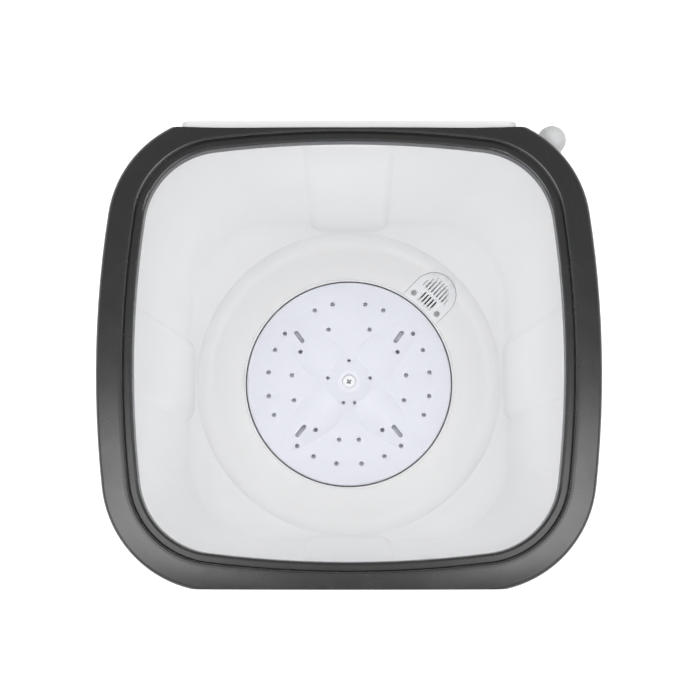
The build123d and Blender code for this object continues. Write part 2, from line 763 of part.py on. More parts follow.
# Drive plate under the tub, with its bolts
motor_x, motor_y = polar(motor_distance, motor_angle)
mount_spots = [(motor_x + x, motor_y + y) for x, y in
               [polar(mount_circle, motor_angle + 45 + 90 * turn) for turn in range(4)]]
mount_bolt_radius = 3.0
plate_lip = 8.0
with BuildPart() as drive_plate:
    with BuildSketch(Plane.XY.offset(plate_bottom)) as plate_plan:
        with BuildSketch(mode=Mode.PRIVATE) as discs:
            Circle(plate_boss_circle + 12)
            with Locations((motor_x, motor_y)):
                Circle(mount_circle + 12)
        make_hull(discs.sketch.edges())
    extrude(amount=plate_thickness)
    with BuildSketch(Plane.XY.offset(plate_bottom - plate_lip)):
        add(plate_plan.sketch.face())
        offset(amount=-plate_thickness, mode=Mode.SUBTRACT)
    extrude(amount=plate_lip)
    with BuildSketch(Plane.XY.offset(plate_bottom - 1)):
        Circle(housing_radius + 3)
        with Locations(*plate_boss_spots):
            Circle(plate_screw_radius + hole_clearance)
        with Locations(*bolt_spots):
            Circle(housing_bolt_radius + hole_clearance)
        with Locations(*mount_spots):
            Circle(mount_bolt_radius + hole_clearance)
        with Locations((motor_x, motor_y)):
            Circle(24)
    extrude(amount=plate_thickness + 2, mode=Mode.SUBTRACT)
drive_plate.part.label = "drive_plate"
export_step(drive_plate.part, "parts/drive_plate.step")

plate_bolts = screws(plate_boss_spots, plate_bottom, 5.5, 4.0, plate_screw_radius, 9.0)
plate_bolts.part.label = "plate_bolts"
export_step(plate_bolts.part, "parts/plate_bolts.step")

housing_bolts = screws(bolt_spots, plate_bottom, 4.6, 3.6, housing_bolt_radius, 8.5)
housing_bolts.part.label = "housing_bolts"
export_step(housing_bolts.part, "parts/housing_bolts.step")


# Pulleys and belt
def pulley_section(pitch, hub, inner, low, high):
    """Half section of a grooved pulley: rim with a V groove, web and hub."""
    half = pulley_width / 2
    rim_out = pitch + belt_outside + 1
    rim_in = max(pitch - rim_thickness + 2, hub)
    groove_foot = pitch - belt_inside - groove_clearance
    wide = belt_top_width / 2 + groove_clearance
    narrow = belt_bottom_width / 2 + groove_clearance
    web = web_thickness / 2
    centre = pulley_level
    return [(inner, low), (hub, low), (hub, centre - web), (rim_in, centre - web), (rim_in, centre - half),
            (rim_out, centre - half), (rim_out, centre - wide), (groove_foot, centre - narrow),
            (groove_foot, centre + narrow), (rim_out, centre + wide), (rim_out, centre + half),
            (rim_in, centre + half), (rim_in, centre + web), (hub, centre + web), (hub, high),
            (inner, high)]


bush_foot = housing_bottom - bush_collar
with BuildPart() as large_pulley:
    add(turned(pulley_section(large_pitch_radius, pulley_hub_radius, lip_radius,
                              pulley_level - 10, bush_foot - seat_gap)).part)
    with BuildSketch(Plane.XY.offset(pulley_level - pulley_width)):
        with PolarLocations((large_pitch_radius - rim_thickness + pulley_hub_radius) / 2, lightening_holes):
            Circle(lightening_radius)
    extrude(amount=2 * pulley_width, mode=Mode.SUBTRACT)
large_pulley.part.label = "large_pulley"
export_step(large_pulley.part, "parts/large_pulley.step")

nut_height = 7.0
with BuildPart() as pulley_nut:
    with BuildSketch(Plane.XY.offset(pulley_level - 10 - nut_height)):
        RegularPolygon(9.0, 6)
        Circle(lip_radius, mode=Mode.SUBTRACT)
    extrude(amount=nut_height)
pulley_nut.part.label = "pulley_nut"
export_step(pulley_nut.part, "parts/pulley_nut.step")

motor_pulley_high = pulley_level + 14
with BuildPart() as motor_pulley:
    with BuildPart(mode=Mode.PRIVATE) as pulley_blank:
        add(turned([(lip_radius, pulley_level - pulley_width / 2)]
                   + pulley_section(small_pitch_radius, lip_radius + 4, lip_radius, 0, 0)[4:12]
                   + [(lip_radius + 5, pulley_level + pulley_width / 2),
                      (lip_radius + 5, motor_pulley_high), (lip_radius, motor_pulley_high)]).part)
    add(pulley_blank.part.moved(Location((motor_x, motor_y, 0))))
motor_pulley.part.label = "motor_pulley"
export_step(motor_pulley.part, "parts/motor_pulley.step")

# The belt runs on the pitch circles of both pulleys and along their outer tangents.
lead = acos((large_pitch_radius - small_pitch_radius) / motor_distance)
tangent_spots = []
for side in (1, -1):
    angle = radians(motor_angle) + side * lead
    tangent_spots.append(((large_pitch_radius * cos(angle), large_pitch_radius * sin(angle)),
                          (motor_x + small_pitch_radius * cos(angle), motor_y + small_pitch_radius * sin(angle))))
(large_up, small_up), (large_down, small_down) = tangent_spots
far_large = polar(large_pitch_radius, motor_angle + 180)
far_small = polar(motor_distance + small_pitch_radius, motor_angle)
with BuildPart() as drive_belt:
    with BuildLine(Plane.XY.offset(pulley_level)) as belt_path:
        ThreePointArc(far_large, polar(large_pitch_radius, motor_angle + 180 - 45), large_up)
        Line(large_up, small_up)
        ThreePointArc(small_up, far_small, small_down)
        Line(small_down, large_down)
        ThreePointArc(large_down, polar(large_pitch_radius, motor_angle + 180 + 45), far_large)
    belt_plane = Plane(origin=(far_large[0], far_large[1], pulley_level),
                       x_dir=(cos(radians(motor_angle + 180)), sin(radians(motor_angle + 180)), 0),
                       z_dir=(sin(radians(motor_angle + 180)), -cos(radians(motor_angle + 180)), 0))
    with BuildSketch(belt_plane):
        with BuildLine():
            Polyline((belt_outside, belt_top_width / 2), (belt_outside, -belt_top_width / 2),
                     (-belt_inside, -belt_bottom_width / 2), (-belt_inside, belt_bottom_width / 2), close=True)
        make_face()
    sweep(path=Wire(belt_path.edges()))
drive_belt.part.label = "drive_belt"
export_step(drive_belt.part, "parts/drive_belt.step")


# Motor, hung from the drive plate on four rubber mounts
ear_top = plate_bottom - mount_height
ear_bottom = ear_top - ear_thickness
core_top = ear_top - 26.0
core_bottom = core_top - core_height
cover_foot = core_bottom - 26.0
core_bore = rotor_radius + core_bore_gap
top_bearing = ear_top - motor_cover_wall - bearing_width
bottom_bearing = cover_foot + motor_cover_wall
mount_bore = mount_bolt_radius + hole_clearance
core_slots = 24
slot_inner = core_bore + 2.0
slot_outer = 44.0
core_slot_width = 4.0
end_turn_inner = core_bore + 1.5
end_turn_outer = motor_radius - motor_cover_wall - 1.5


def at_motor(solid):
    """The same solid moved from the tub's axis to the motor's axis."""
    with BuildPart() as moved:
        add(solid.part.moved(Location((motor_x, motor_y, 0))))
    return moved


def ring(inner, outer, low, high):
    """Plain ring about the tub's axis."""
    return turned([(inner, low), (outer, low), (outer, high), (inner, high)])


with BuildPart() as core:
    add(ring(core_bore, motor_radius, core_bottom, core_top).part)
    with BuildSketch(Plane.XY.offset(core_bottom - 1)):
        with PolarLocations((slot_inner + slot_outer) / 2, core_slots):
            Rectangle(slot_outer - slot_inner, core_slot_width)
    extrude(amount=core_height + 2, mode=Mode.SUBTRACT)
stator_core = at_motor(core)
stator_core.part.label = "stator_core"
export_step(stator_core.part, "parts/stator_core.step")

with BuildPart() as coils:
    with BuildSketch(Plane.XY.offset(core_bottom - 2)):
        with PolarLocations((slot_inner + slot_outer) / 2, core_slots):
            Rectangle(slot_outer - slot_inner - 2 * hole_clearance, core_slot_width - 2 * hole_clearance)
    extrude(amount=core_height + 4)
    for low, high in ((core_top + seat_gap, core_top + end_turn_height),
                      (core_bottom - end_turn_height, core_bottom - seat_gap)):
        middle = (low + high) / 2
        edge = end_turn_height / 4
        add(turned([(end_turn_inner, middle - edge), (end_turn_inner + edge, low),
                    (end_turn_outer - edge, low), (end_turn_outer, middle - edge),
                    (end_turn_outer, middle + edge), (end_turn_outer - edge, high),
                    (end_turn_inner + edge, high), (end_turn_inner, middle + edge)]).part)
motor_windings = at_motor(coils)
motor_windings.part.label = "motor_windings"
export_step(motor_windings.part, "parts/motor_windings.step")


def motor_cover(seam, far, side):
    """Cup over one end of the motor; side is 1 for the top cover and -1 for the bottom one."""
    inner = motor_radius - motor_cover_wall
    pocket = far - side * (motor_cover_wall + bearing_width)
    plate = far - side * motor_cover_wall
    bore = bearing_radius + running_clearance
    with BuildPart() as cover:
        add(turned([(inner, seam), (motor_radius, seam), (motor_radius, far - side * 6),
                    (motor_radius - 6, far), (shaft_radius + 2, far), (shaft_radius + 2, plate),
                    (bore, plate), (bore, pocket), (bore + motor_cover_wall, pocket),
                    (bore + motor_cover_wall, plate), (inner - 4, plate), (inner, plate - side * 4)]).part)
        with BuildSketch(Plane.XY.offset(min(far, plate) - 1)):
            with PolarLocations(30, 8, start_angle=22.5):
                SlotOverall(18, 5)
        extrude(amount=motor_cover_wall + 2, mode=Mode.SUBTRACT)
    return cover


with BuildPart() as cover_with_ears:
    add(motor_cover(core_top, ear_top, 1).part)
    with BuildSketch(Plane.XY.offset(ear_bottom)):
        with PolarLocations(mount_circle, 4, start_angle=motor_angle + 45):
            Circle(mount_radius)
        with PolarLocations((mount_circle + motor_radius) / 2 - 5, 4, start_angle=motor_angle + 45):
            Rectangle(mount_circle - motor_radius + 10, 2 * mount_radius)
        Circle(motor_radius - 6, mode=Mode.SUBTRACT)
        with PolarLocations(mount_circle, 4, start_angle=motor_angle + 45):
            Circle(mount_bore, mode=Mode.SUBTRACT)
    extrude(amount=ear_thickness)
motor_top_cover = at_motor(cover_with_ears)
motor_top_cover.part.label = "motor_top_cover"
export_step(motor_top_cover.part, "parts/motor_top_cover.step")

motor_bottom_cover = at_motor(motor_cover(core_bottom, cover_foot, -1))
motor_bottom_cover.part.label = "motor_bottom_cover"
export_step(motor_bottom_cover.part, "parts/motor_bottom_cover.step")

with BuildPart() as bearings:
    for level in (top_bearing, bottom_bearing):
        add(ring(lip_radius, bearing_radius, level + seat_gap, level + bearing_width - seat_gap).part)
motor_bearings = at_motor(bearings)
motor_bearings.part.label = "motor_bearings"
export_step(motor_bearings.part, "parts/motor_bearings.step")

rotor_overhang = 3.0
with BuildPart() as rotor:
    add(ring(lip_radius, rotor_radius, core_bottom - rotor_overhang, core_top + rotor_overhang).part)
    with BuildSketch(Plane.XY.offset(core_bottom - rotor_overhang - 1)):
        with PolarLocations(17, 6):
            Circle(3.5)
    extrude(amount=core_height + 2 * rotor_overhang + 2, mode=Mode.SUBTRACT)
motor_rotor = at_motor(rotor)
motor_rotor.part.label = "motor_rotor"
export_step(motor_rotor.part, "parts/motor_rotor.step")

motor_shaft_bottom = pulley_level - pulley_width / 2 - 6
with BuildPart() as spindle:
    with Locations((0, 0, motor_shaft_bottom)):
        Cylinder(shaft_radius, ear_top - 1.5 - motor_shaft_bottom,
                 align=(Align.CENTER, Align.CENTER, Align.MIN))
    chamfer(spindle.edges().filter_by(GeomType.CIRCLE), length=0.6)
motor_shaft = at_motor(spindle)
motor_shaft.part.label = "motor_shaft"
export_step(motor_shaft.part, "parts/motor_shaft.step")

fan_top = cover_foot - 3.0
fan_height = 20.0
with BuildPart() as blades:
    add(ring(lip_radius, 10, fan_top - fan_height, fan_top).part)
    add(ring(9, fan_radius, fan_top - 2, fan_top).part)
    with BuildSketch(Plane.XY.offset(fan_top - fan_height)):
        with PolarLocations((fan_radius + 9) / 2, fan_blades):
            Rectangle(fan_radius - 9, 2)
    extrude(amount=fan_height - 1)
motor_fan = at_motor(blades)
motor_fan.part.label = "motor_fan"
export_step(motor_fan.part, "parts/motor_fan.step")

with BuildPart() as motor_mounts:
    with BuildSketch(Plane.XY.offset(ear_top)):
        with Locations(*mount_spots):
            Circle(mount_radius)
            Circle(mount_bore, mode=Mode.SUBTRACT)
    extrude(amount=mount_height)
    with BuildSketch(Plane.XY.offset(ear_top + mount_height * 0.35)):
        with Locations(*mount_spots):
            Circle(mount_radius + 1)
            Circle(mount_radius - 1.5, mode=Mode.SUBTRACT)
    extrude(amount=mount_height * 0.3, mode=Mode.SUBTRACT)
motor_mounts.part.label = "motor_mounts"
export_step(motor_mounts.part, "parts/motor_mounts.step")

bolt_head = 4.0
mount_nut = 5.0
with BuildPart() as motor_bolts:
    with BuildSketch(Plane.XY.offset(plate_top)):
        with Locations(*mount_spots):
            RegularPolygon(5.6, 6)
    extrude(amount=bolt_head)
    with BuildSketch(Plane.XY.offset(ear_bottom - mount_nut - 4)):
        with Locations(*mount_spots):
            Circle(mount_bolt_radius)
    extrude(amount=plate_top - ear_bottom + mount_nut + 5)
    with BuildSketch(Plane.XY.offset(ear_bottom - mount_nut)):
        with Locations(*mount_spots):
            RegularPolygon(5.6, 6)
    extrude(amount=mount_nut)
motor_bolts.part.label = "motor_bolts"
export_step(motor_bolts.part, "parts/motor_bolts.step")


# Drain filter cover and its screws
slot_offsets = [(i - (outer_slots - 1) / 2) * cover_slot_pitch for i in range(outer_slots)]
inner_offsets = [(i - (inner_slots - 1) / 2) * cover_slot_pitch for i in range(inner_slots)]
cover_top = floor_height
with BuildPart() as drain_filter_cover:
    extrude(to_extrude=cover_outline(0, pocket_floor), amount=cover_thickness)
    with BuildSketch(Plane.XY.offset(pocket_floor - 1)):
        Circle(recess_radius + seat_gap)
    extrude(amount=cover_thickness + 2, mode=Mode.SUBTRACT)
    with BuildSketch(drain_top.offset(pocket_floor - 1)):
        for across in slot_offsets:
            length = sqrt(fan_slot_radius**2 - across**2)
            with Locations((cover_reach + length / 2, across)):
                Rectangle(length, cover_slot_width)
        for across in inner_offsets:
            length = cover_reach - cover_bar - inner_slot_end
            with Locations((inner_slot_end + length / 2, across)):
                Rectangle(length, cover_slot_width)
        with Locations(*cover_screw_spots):
            Circle(cover_screw_shank + hole_clearance)
    extrude(amount=cover_thickness + 2, mode=Mode.SUBTRACT)
drain_filter_cover.part.label = "drain_filter_cover"
export_step(drain_filter_cover.part, "parts/drain_filter_cover.step")

with BuildPart() as filter_cover_screws:
    with BuildSketch(drain_top.offset(cover_top)):
        with Locations(*cover_screw_spots):
            Circle(cover_screw_head)
    extrude(amount=1.6, taper=18)
    with BuildSketch(drain_top.offset(cover_top)):
        with Locations(*cover_screw_spots):
            Circle(cover_screw_shank)
    extrude(amount=-cover_boss_length)
    with BuildSketch(drain_top.offset(cover_top + 0.8)):
        with Locations(*cover_screw_spots):
            Rectangle(3.6, 0.8)
            Rectangle(0.8, 3.6)
    extrude(amount=2, mode=Mode.SUBTRACT)
filter_cover_screws.part.label = "filter_cover_screws"
export_step(filter_cover_screws.part, "parts/filter_cover_screws.step")


# Drain sump, hoses and elbows
def corner_plane(reach, level):
    """Plane square to the outward direction of the drain."""
    return Plane(origin=drain_direction * reach + Vector(0, 0, level), z_dir=drain_direction)


sump_top = pocket_floor - tub_wall
sump_floor = sump_top - sump_depth
spigot_end = sump_floor - spigot_length
with BuildPart() as drain_sump:
    with BuildSketch(drain_top.offset(sump_floor)):
        with Locations((cover_reach, 0)):
            Circle(sump_radius)
    extrude(amount=sump_depth)
    with BuildSketch(drain_top.offset(spigot_end)):
        with Locations((cover_reach, 0)):
            Circle(spigot_radius)
    extrude(amount=spigot_length + 1)
    with BuildSketch(drain_top.offset(sump_floor + sump_wall)):
        with Locations((cover_reach, 0)):
            Circle(drain_hole_radius)
    extrude(amount=sump_depth, mode=Mode.SUBTRACT)
    with BuildSketch(drain_top.offset(spigot_end - 1)):
        with Locations((cover_reach, 0)):
            Circle(spigot_bore)
    extrude(amount=spigot_length + sump_wall + 2, mode=Mode.SUBTRACT)
drain_sump.part.label = "drain_sump"
export_step(drain_sump.part, "parts/drain_sump.step")


def drain_tube(outer, bore, bend, *points):
    """Round tube along straight runs in the drain plane, joined by bends of one radius."""
    with BuildPart() as tube:
        with BuildLine(drain_plane) as route:
            FilletPolyline(*points, radius=bend)
        with BuildSketch(Plane(origin=route.line @ 0, z_dir=route.line % 0)):
            Circle(outer)
            Circle(bore, mode=Mode.SUBTRACT)
        sweep(path=Wire(route.edges()))
    return tube


hose_bend = 41.0
elbow_inner_end = 205.0
inner_hose_end = 229.0
inner_drain_hose = drain_tube(hose_radius, hose_bore, hose_bend, (cover_reach, sump_floor - 2),
                              (cover_reach, outlet_level), (inner_hose_end, outlet_level))
inner_drain_hose.part.label = "inner_drain_hose"
export_step(inner_drain_hose.part, "parts/inner_drain_hose.step")

elbow_riser_end = outlet_level + 38.0
pad_radius = 16.0
pad_outside = 242.0
with BuildPart() as outlet_elbow:
    with BuildSketch(corner_plane(pad_outside, outlet_level)):
        Circle(pad_radius)
    extrude(amount=-12)
    add(cabinet_solid(-seat_gap, outlet_level - 30, outlet_level + 30), mode=Mode.SUBTRACT)
    add(drain_tube(spigot_radius, spigot_bore, outlet_bend, (elbow_inner_end, outlet_level),
                   (hose_reach, outlet_level), (hose_reach, elbow_riser_end)).part)
    with BuildSketch(corner_plane(pad_outside + 1, outlet_level)):
        Circle(spigot_bore)
    extrude(amount=-14, mode=Mode.SUBTRACT)
outlet_elbow.part.label = "outlet_elbow"
export_step(outlet_elbow.part, "parts/outlet_elbow.step")

hose_bottom = outlet_level + 20.0
with BuildPart() as drain_hose:
    with BuildSketch(drain_top.offset(hose_bottom)):
        with Locations((hose_reach, 0)):
            Circle(hose_radius)
            Circle(hose_bore, mode=Mode.SUBTRACT)
    extrude(amount=hose_top - hose_bottom)
drain_hose.part.label = "drain_hose"
export_step(drain_hose.part, "parts/drain_hose.step")

clamp_inner = hose_radius + running_clearance
clamp_outer = clamp_inner + clamp_thickness
upright_clamps = ((cover_reach, sump_floor - 12), (hose_reach, hose_bottom + 4))
with BuildPart() as hose_clamps:
    for reach, level in upright_clamps:
        with BuildSketch(drain_top.offset(level)):
            with Locations((reach, 0)):
                Circle(clamp_outer)
                Circle(clamp_inner, mode=Mode.SUBTRACT)
        extrude(amount=clamp_width)
    with BuildSketch(corner_plane(inner_hose_end - 14, outlet_level)):
        Circle(clamp_outer)
        Circle(clamp_inner, mode=Mode.SUBTRACT)
    extrude(amount=clamp_width)
hose_clamps.part.label = "hose_clamps"
export_step(hose_clamps.part, "parts/hose_clamps.step")

clip_inner = hose_radius + running_clearance
clip_mouth = 4.0
with BuildPart() as hose_clips:
    for level in clip_levels:
        with BuildSketch(drain_top.offset(level)):
            with Locations((hose_reach, 0)):
                Circle(clip_inner + clip_wall)
            with Locations((hose_reach - 15, 0)):
                Rectangle(14, 12)
            with Locations((hose_reach, 0)):
                Circle(clip_inner, mode=Mode.SUBTRACT)
            with Locations((hose_reach + clip_mouth + 15, 0)):
                Rectangle(30, 60, mode=Mode.SUBTRACT)
        extrude(amount=clip_height)
    add(cabinet_solid(-seat_gap, clip_levels[0] - 10, clip_levels[1] + 30), mode=Mode.SUBTRACT)
hose_clips.part.label = "hose_clips"
export_step(hose_clips.part, "parts/hose_clips.step")

elbow_mouth = 243.0
elbow_sleeve = 24.0
with BuildPart() as hose_end_elbow:
    with BuildSketch(drain_top.offset(hose_top - elbow_sleeve)):
        with Locations((hose_reach, 0)):
            Circle(end_elbow_radius)
    extrude(amount=end_elbow_level - hose_top + elbow_sleeve)
    with Locations(Plane(origin=drain_direction * hose_reach + Vector(0, 0, end_elbow_level))):
        Sphere(end_elbow_radius)
    with BuildSketch(corner_plane(elbow_mouth, end_elbow_level)):
        Circle(end_elbow_radius)
    extrude(amount=hose_reach - elbow_mouth)
    with BuildSketch(drain_top.offset(hose_top - elbow_sleeve - 1)):
        with Locations((hose_reach, 0)):
            Circle(hose_radius + running_clearance)
    extrude(amount=elbow_sleeve + 1 + seat_gap, mode=Mode.SUBTRACT)
    with BuildSketch(drain_top.offset(hose_top - 1)):
        with Locations((hose_reach, 0)):
            Circle(hose_bore)
    extrude(amount=end_elbow_level - hose_top + 1, mode=Mode.SUBTRACT)
    with BuildSketch(corner_plane(elbow_mouth - 1, end_elbow_level)):
        Circle(hose_bore)
    extrude(amount=hose_reach - elbow_mouth + 1, mode=Mode.SUBTRACT)
hose_end_elbow.part.label = "hose_end_elbow"
export_step(hose_end_elbow.part, "parts/hose_end_elbow.step")

peg_end = 250.0
with BuildPart() as hose_parking_peg:
    with BuildSketch(corner_plane(peg_end, end_elbow_level)):
        Circle(peg_radius)
    extrude(amount=-20)
    add(cabinet_solid(-seat_gap, end_elbow_level - 30, skirt_bottom), mode=Mode.SUBTRACT)
    chamfer(hose_parking_peg.faces().sort_by(Axis((0, 0, 0), tuple(drain_direction)))[-1].edges(), length=1.2)
hose_parking_peg.part.label = "hose_parking_peg"
export_step(hose_parking_peg.part, "parts/hose_parking_peg.step")


# Outer cabinet with two grip recesses
def front_plane(y):
    """Upright plane at one depth, seen from the front: its x runs right and its y runs up."""
    return Plane.XZ.offset(-y)


def grip_block(grow):
    """Two blocks that reach in from the sides: the grip recesses, grown by grow."""
    reach = opening_width / 2 + cabinet_grow
    with BuildPart() as blocks:
        for side in (1, -1):
            with BuildSketch(Plane.YZ.offset(side * (reach - grip_depth - grow))):
                with Locations((0, grip_level)):
                    RectangleRounded(grip_width + 2 * grow, grip_height + 2 * grow, grip_round + grow)
            extrude(amount=side * (grip_depth + grow + 20))
    return blocks.part


service_width = 210.0
service_bottom = 92.0
service_height = 158.0
panel_cut_width = panel_width - 2 * panel_border
panel_cut_height = panel_height - 2 * panel_border
panel_screw_spots = [(sx * (panel_width / 2 - panel_border / 2), panel_level
                      + sz * (panel_height / 2 - panel_border / 2)) for sx in (1, -1) for sz in (1, -1)]
small_screw_radius = 1.5
base_screw_level = base_top + 6.0
base_screw_spots = [(-82.0, base_screw_level), (82.0, base_screw_level)]
cover_boss_spots = [(sx * (back_cover_half - 14), level) for sx in (1, -1) for level in (574.0, 410.0)]
cover_boss_spots += [(sx * (back_cover_foot_half - 8), back_cover_bottom + 12) for sx in (1, -1)]

with BuildPart() as outer_cabinet:
    add(cabinet_solid(0, base_top, cabinet_top))
    add(cabinet_solid(cabinet_wall, base_top - 1, cabinet_top - cabinet_wall), mode=Mode.SUBTRACT)
    extrude(to_extrude=body_outline(cabinet_grow - flange_width, cabinet_top - cabinet_wall - 1),
            amount=cabinet_wall + 2, mode=Mode.SUBTRACT)
    with BuildSketch(Plane.XY.offset(skirt_bottom - seat_gap)):
        with Locations((0, inside_back + back_hollow + frame_wall)):
            Rectangle(2 * opening_width, 2 * (back_hollow + frame_wall))
    extrude(amount=skirt_drop, mode=Mode.SUBTRACT)
    with BuildPart(mode=Mode.PRIVATE) as grip_walls:
        add(grip_block(cabinet_wall))
        add(cabinet_solid(cabinet_wall / 2, base_top, cabinet_top), mode=Mode.INTERSECT)
    add(grip_walls.part)
    add(grip_block(0), mode=Mode.SUBTRACT)
    with BuildSketch(front_plane(-cabinet_front + cabinet_wall + 1)):
        with Locations((0, panel_level)):
            Rectangle(panel_cut_width, panel_cut_height)
        with Locations(*panel_screw_spots, *base_screw_spots):
            Circle(small_screw_radius + hole_clearance)
    extrude(amount=2 * cabinet_wall, mode=Mode.SUBTRACT)
    with BuildSketch(front_plane(cabinet_back + 1)):
        with Locations((0, service_bottom + service_height / 2)):
            RectangleRounded(service_width, service_height, 10)
        with Locations(*cover_boss_spots, *base_screw_spots):
            Circle(small_screw_radius + hole_clearance)
    extrude(amount=2 * cabinet_wall, mode=Mode.SUBTRACT)
    with BuildSketch(corner_plane(hose_reach, outlet_level)):
        Circle(spigot_radius + hole_clearance)
    extrude(amount=-30, mode=Mode.SUBTRACT)
    with BuildSketch(Plane.XY.offset(frame_screw_bottom - 1)):
        with Locations(*boss_spots):
            Circle(frame_screw_radius + hole_clearance)
    extrude(amount=cabinet_wall + 2, mode=Mode.SUBTRACT)
outer_cabinet.part.label = "outer_cabinet"
export_step(outer_cabinet.part, "parts/outer_cabinet.step")


# Base frame, its screws, feet and cord grommet
collar_gap = 0.4
collar_wall = 2.5
collar_height = 12.0
base_floor = foot_height + base_wall
foot_spots = [(-foot_x, -foot_front), (foot_x, -foot_front), (-foot_x, foot_back), (foot_x, foot_back)]
foot_boss_radius = 13.0
foot_boss_height = 20.0
foot_screw_radius = 2.5
rib_thickness = 3.0
collar_inset = cabinet_wall + collar_gap
with BuildPart() as base_frame:
    add(cabinet_solid(0, foot_height, base_top))
    add(cabinet_solid(base_wall + collar_gap, base_floor, base_top + 1), mode=Mode.SUBTRACT)
    with BuildPart(mode=Mode.PRIVATE) as collar:
        add(cabinet_solid(collar_inset, base_top - 6, base_top + collar_height))
        add(cabinet_solid(collar_inset + collar_wall, base_top - 7, base_top + collar_height + 1),
            mode=Mode.SUBTRACT)
    add(collar.part)
    with BuildSketch(Plane.XY.offset(foot_height)):
        RectangleRounded(base_opening + 2 * rib_thickness, base_opening + 2 * rib_thickness, 20)
        with Locations((0, (base_opening + 50) / 2), (0, -(base_opening + 50) / 2)):
            Rectangle(rib_thickness, 60)
        with Locations(((base_opening + 60) / 2, 0), (-(base_opening + 60) / 2, 0)):
            Rectangle(70, rib_thickness)
        with Locations(*foot_spots):
            Circle(foot_boss_radius)
    extrude(amount=rib_height)
    with BuildSketch(Plane.XY.offset(foot_height - 1)):
        RectangleRounded(base_opening, base_opening, 20 - rib_thickness)
    extrude(amount=rib_height + 2, mode=Mode.SUBTRACT)
    with BuildSketch(Plane.XY.offset(foot_height - 1)):
        with Locations(*foot_spots):
            Circle(foot_screw_radius + running_clearance)
    extrude(amount=foot_boss_height, mode=Mode.SUBTRACT)
    with BuildSketch(front_plane(cabinet_back + 1)):
        with Locations((cord_x, cord_level)):
            Circle(grommet_radius + hole_clearance)
    extrude(amount=2 * base_wall, mode=Mode.SUBTRACT)
    for wall_plane in (front_plane(cabinet_back + 1), front_plane(-cabinet_front + 8)):
        with BuildSketch(wall_plane):
            with Locations(*base_screw_spots):
                Circle(small_screw_radius + running_clearance)
        extrude(amount=10, mode=Mode.SUBTRACT)
base_frame.part.label = "base_frame"
export_step(base_frame.part, "parts/base_frame.step")

with BuildPart() as base_screws:
    for face, inward in ((front_plane(-cabinet_front), -1), (front_plane(cabinet_back), 1)):
        with BuildSketch(face):
            with Locations(*base_screw_spots):
                Circle(3.0)
        extrude(amount=-inward * 1.8)
        with BuildSketch(face):
            with Locations(*base_screw_spots):
                Circle(small_screw_radius)
        extrude(amount=inward * 5.4)
base_screws.part.label = "base_screws"
export_step(base_screws.part, "parts/base_screws.step")

foot_recess = 8.0
with BuildPart() as feet:
    with BuildSketch():
        with Locations(*foot_spots):
            Circle(foot_radius)
    extrude(amount=foot_height)
    chamfer(feet.edges().filter_by(GeomType.CIRCLE).group_by(Axis.Z)[0], length=1.5)
    with BuildSketch():
        with Locations(*foot_spots):
            Circle(6)
    extrude(amount=foot_recess, mode=Mode.SUBTRACT)
    with BuildSketch():
        with Locations(*foot_spots):
            Circle(foot_screw_radius + running_clearance)
    extrude(amount=foot_height, mode=Mode.SUBTRACT)
feet.part.label = "feet"
export_step(feet.part, "parts/feet.step")

foot_screws = screws(foot_spots, foot_recess, 5.0, 3.0, foot_screw_radius, foot_height + foot_boss_height - 12)
foot_screws.part.label = "foot_screws"
export_step(foot_screws.part, "parts/foot_screws.step")

grommet_y = cabinet_back
with BuildPart() as cord_grommet:
    for start, radius, depth in ((grommet_y + 2.4, grommet_radius + 3.5, 2.4),
                                 (grommet_y, grommet_radius, base_wall + collar_gap),
                                 (grommet_y - base_wall - collar_gap, grommet_radius + 2.5, 2.0)):
        with BuildSketch(front_plane(start)):
            with Locations((cord_x, cord_level)):
                Circle(radius)
        extrude(amount=depth)
    with BuildSketch(front_plane(grommet_y + 5)):
        with Locations((cord_x, cord_level)):
            Circle(grommet_bore)
    extrude(amount=20, mode=Mode.SUBTRACT)
cord_grommet.part.label = "cord_grommet"
export_step(cord_grommet.part, "parts/cord_grommet.step")


# Back cover and its screws
def back_plan(grow):
    """Outline of the back cover, wider at the top."""
    with BuildSketch(front_plane(cabinet_back)) as plan:
        with BuildLine():
            Polyline((-back_cover_half - grow, back_cover_top + grow),
                     (back_cover_half + grow, back_cover_top + grow),
                     (back_cover_foot_half + grow, back_cover_bottom - grow),
                     (-back_cover_foot_half - grow, back_cover_bottom - grow), close=True)
        make_face()
        fillet(plan.vertices(), radius=back_cover_round + grow)
    return plan.sketch


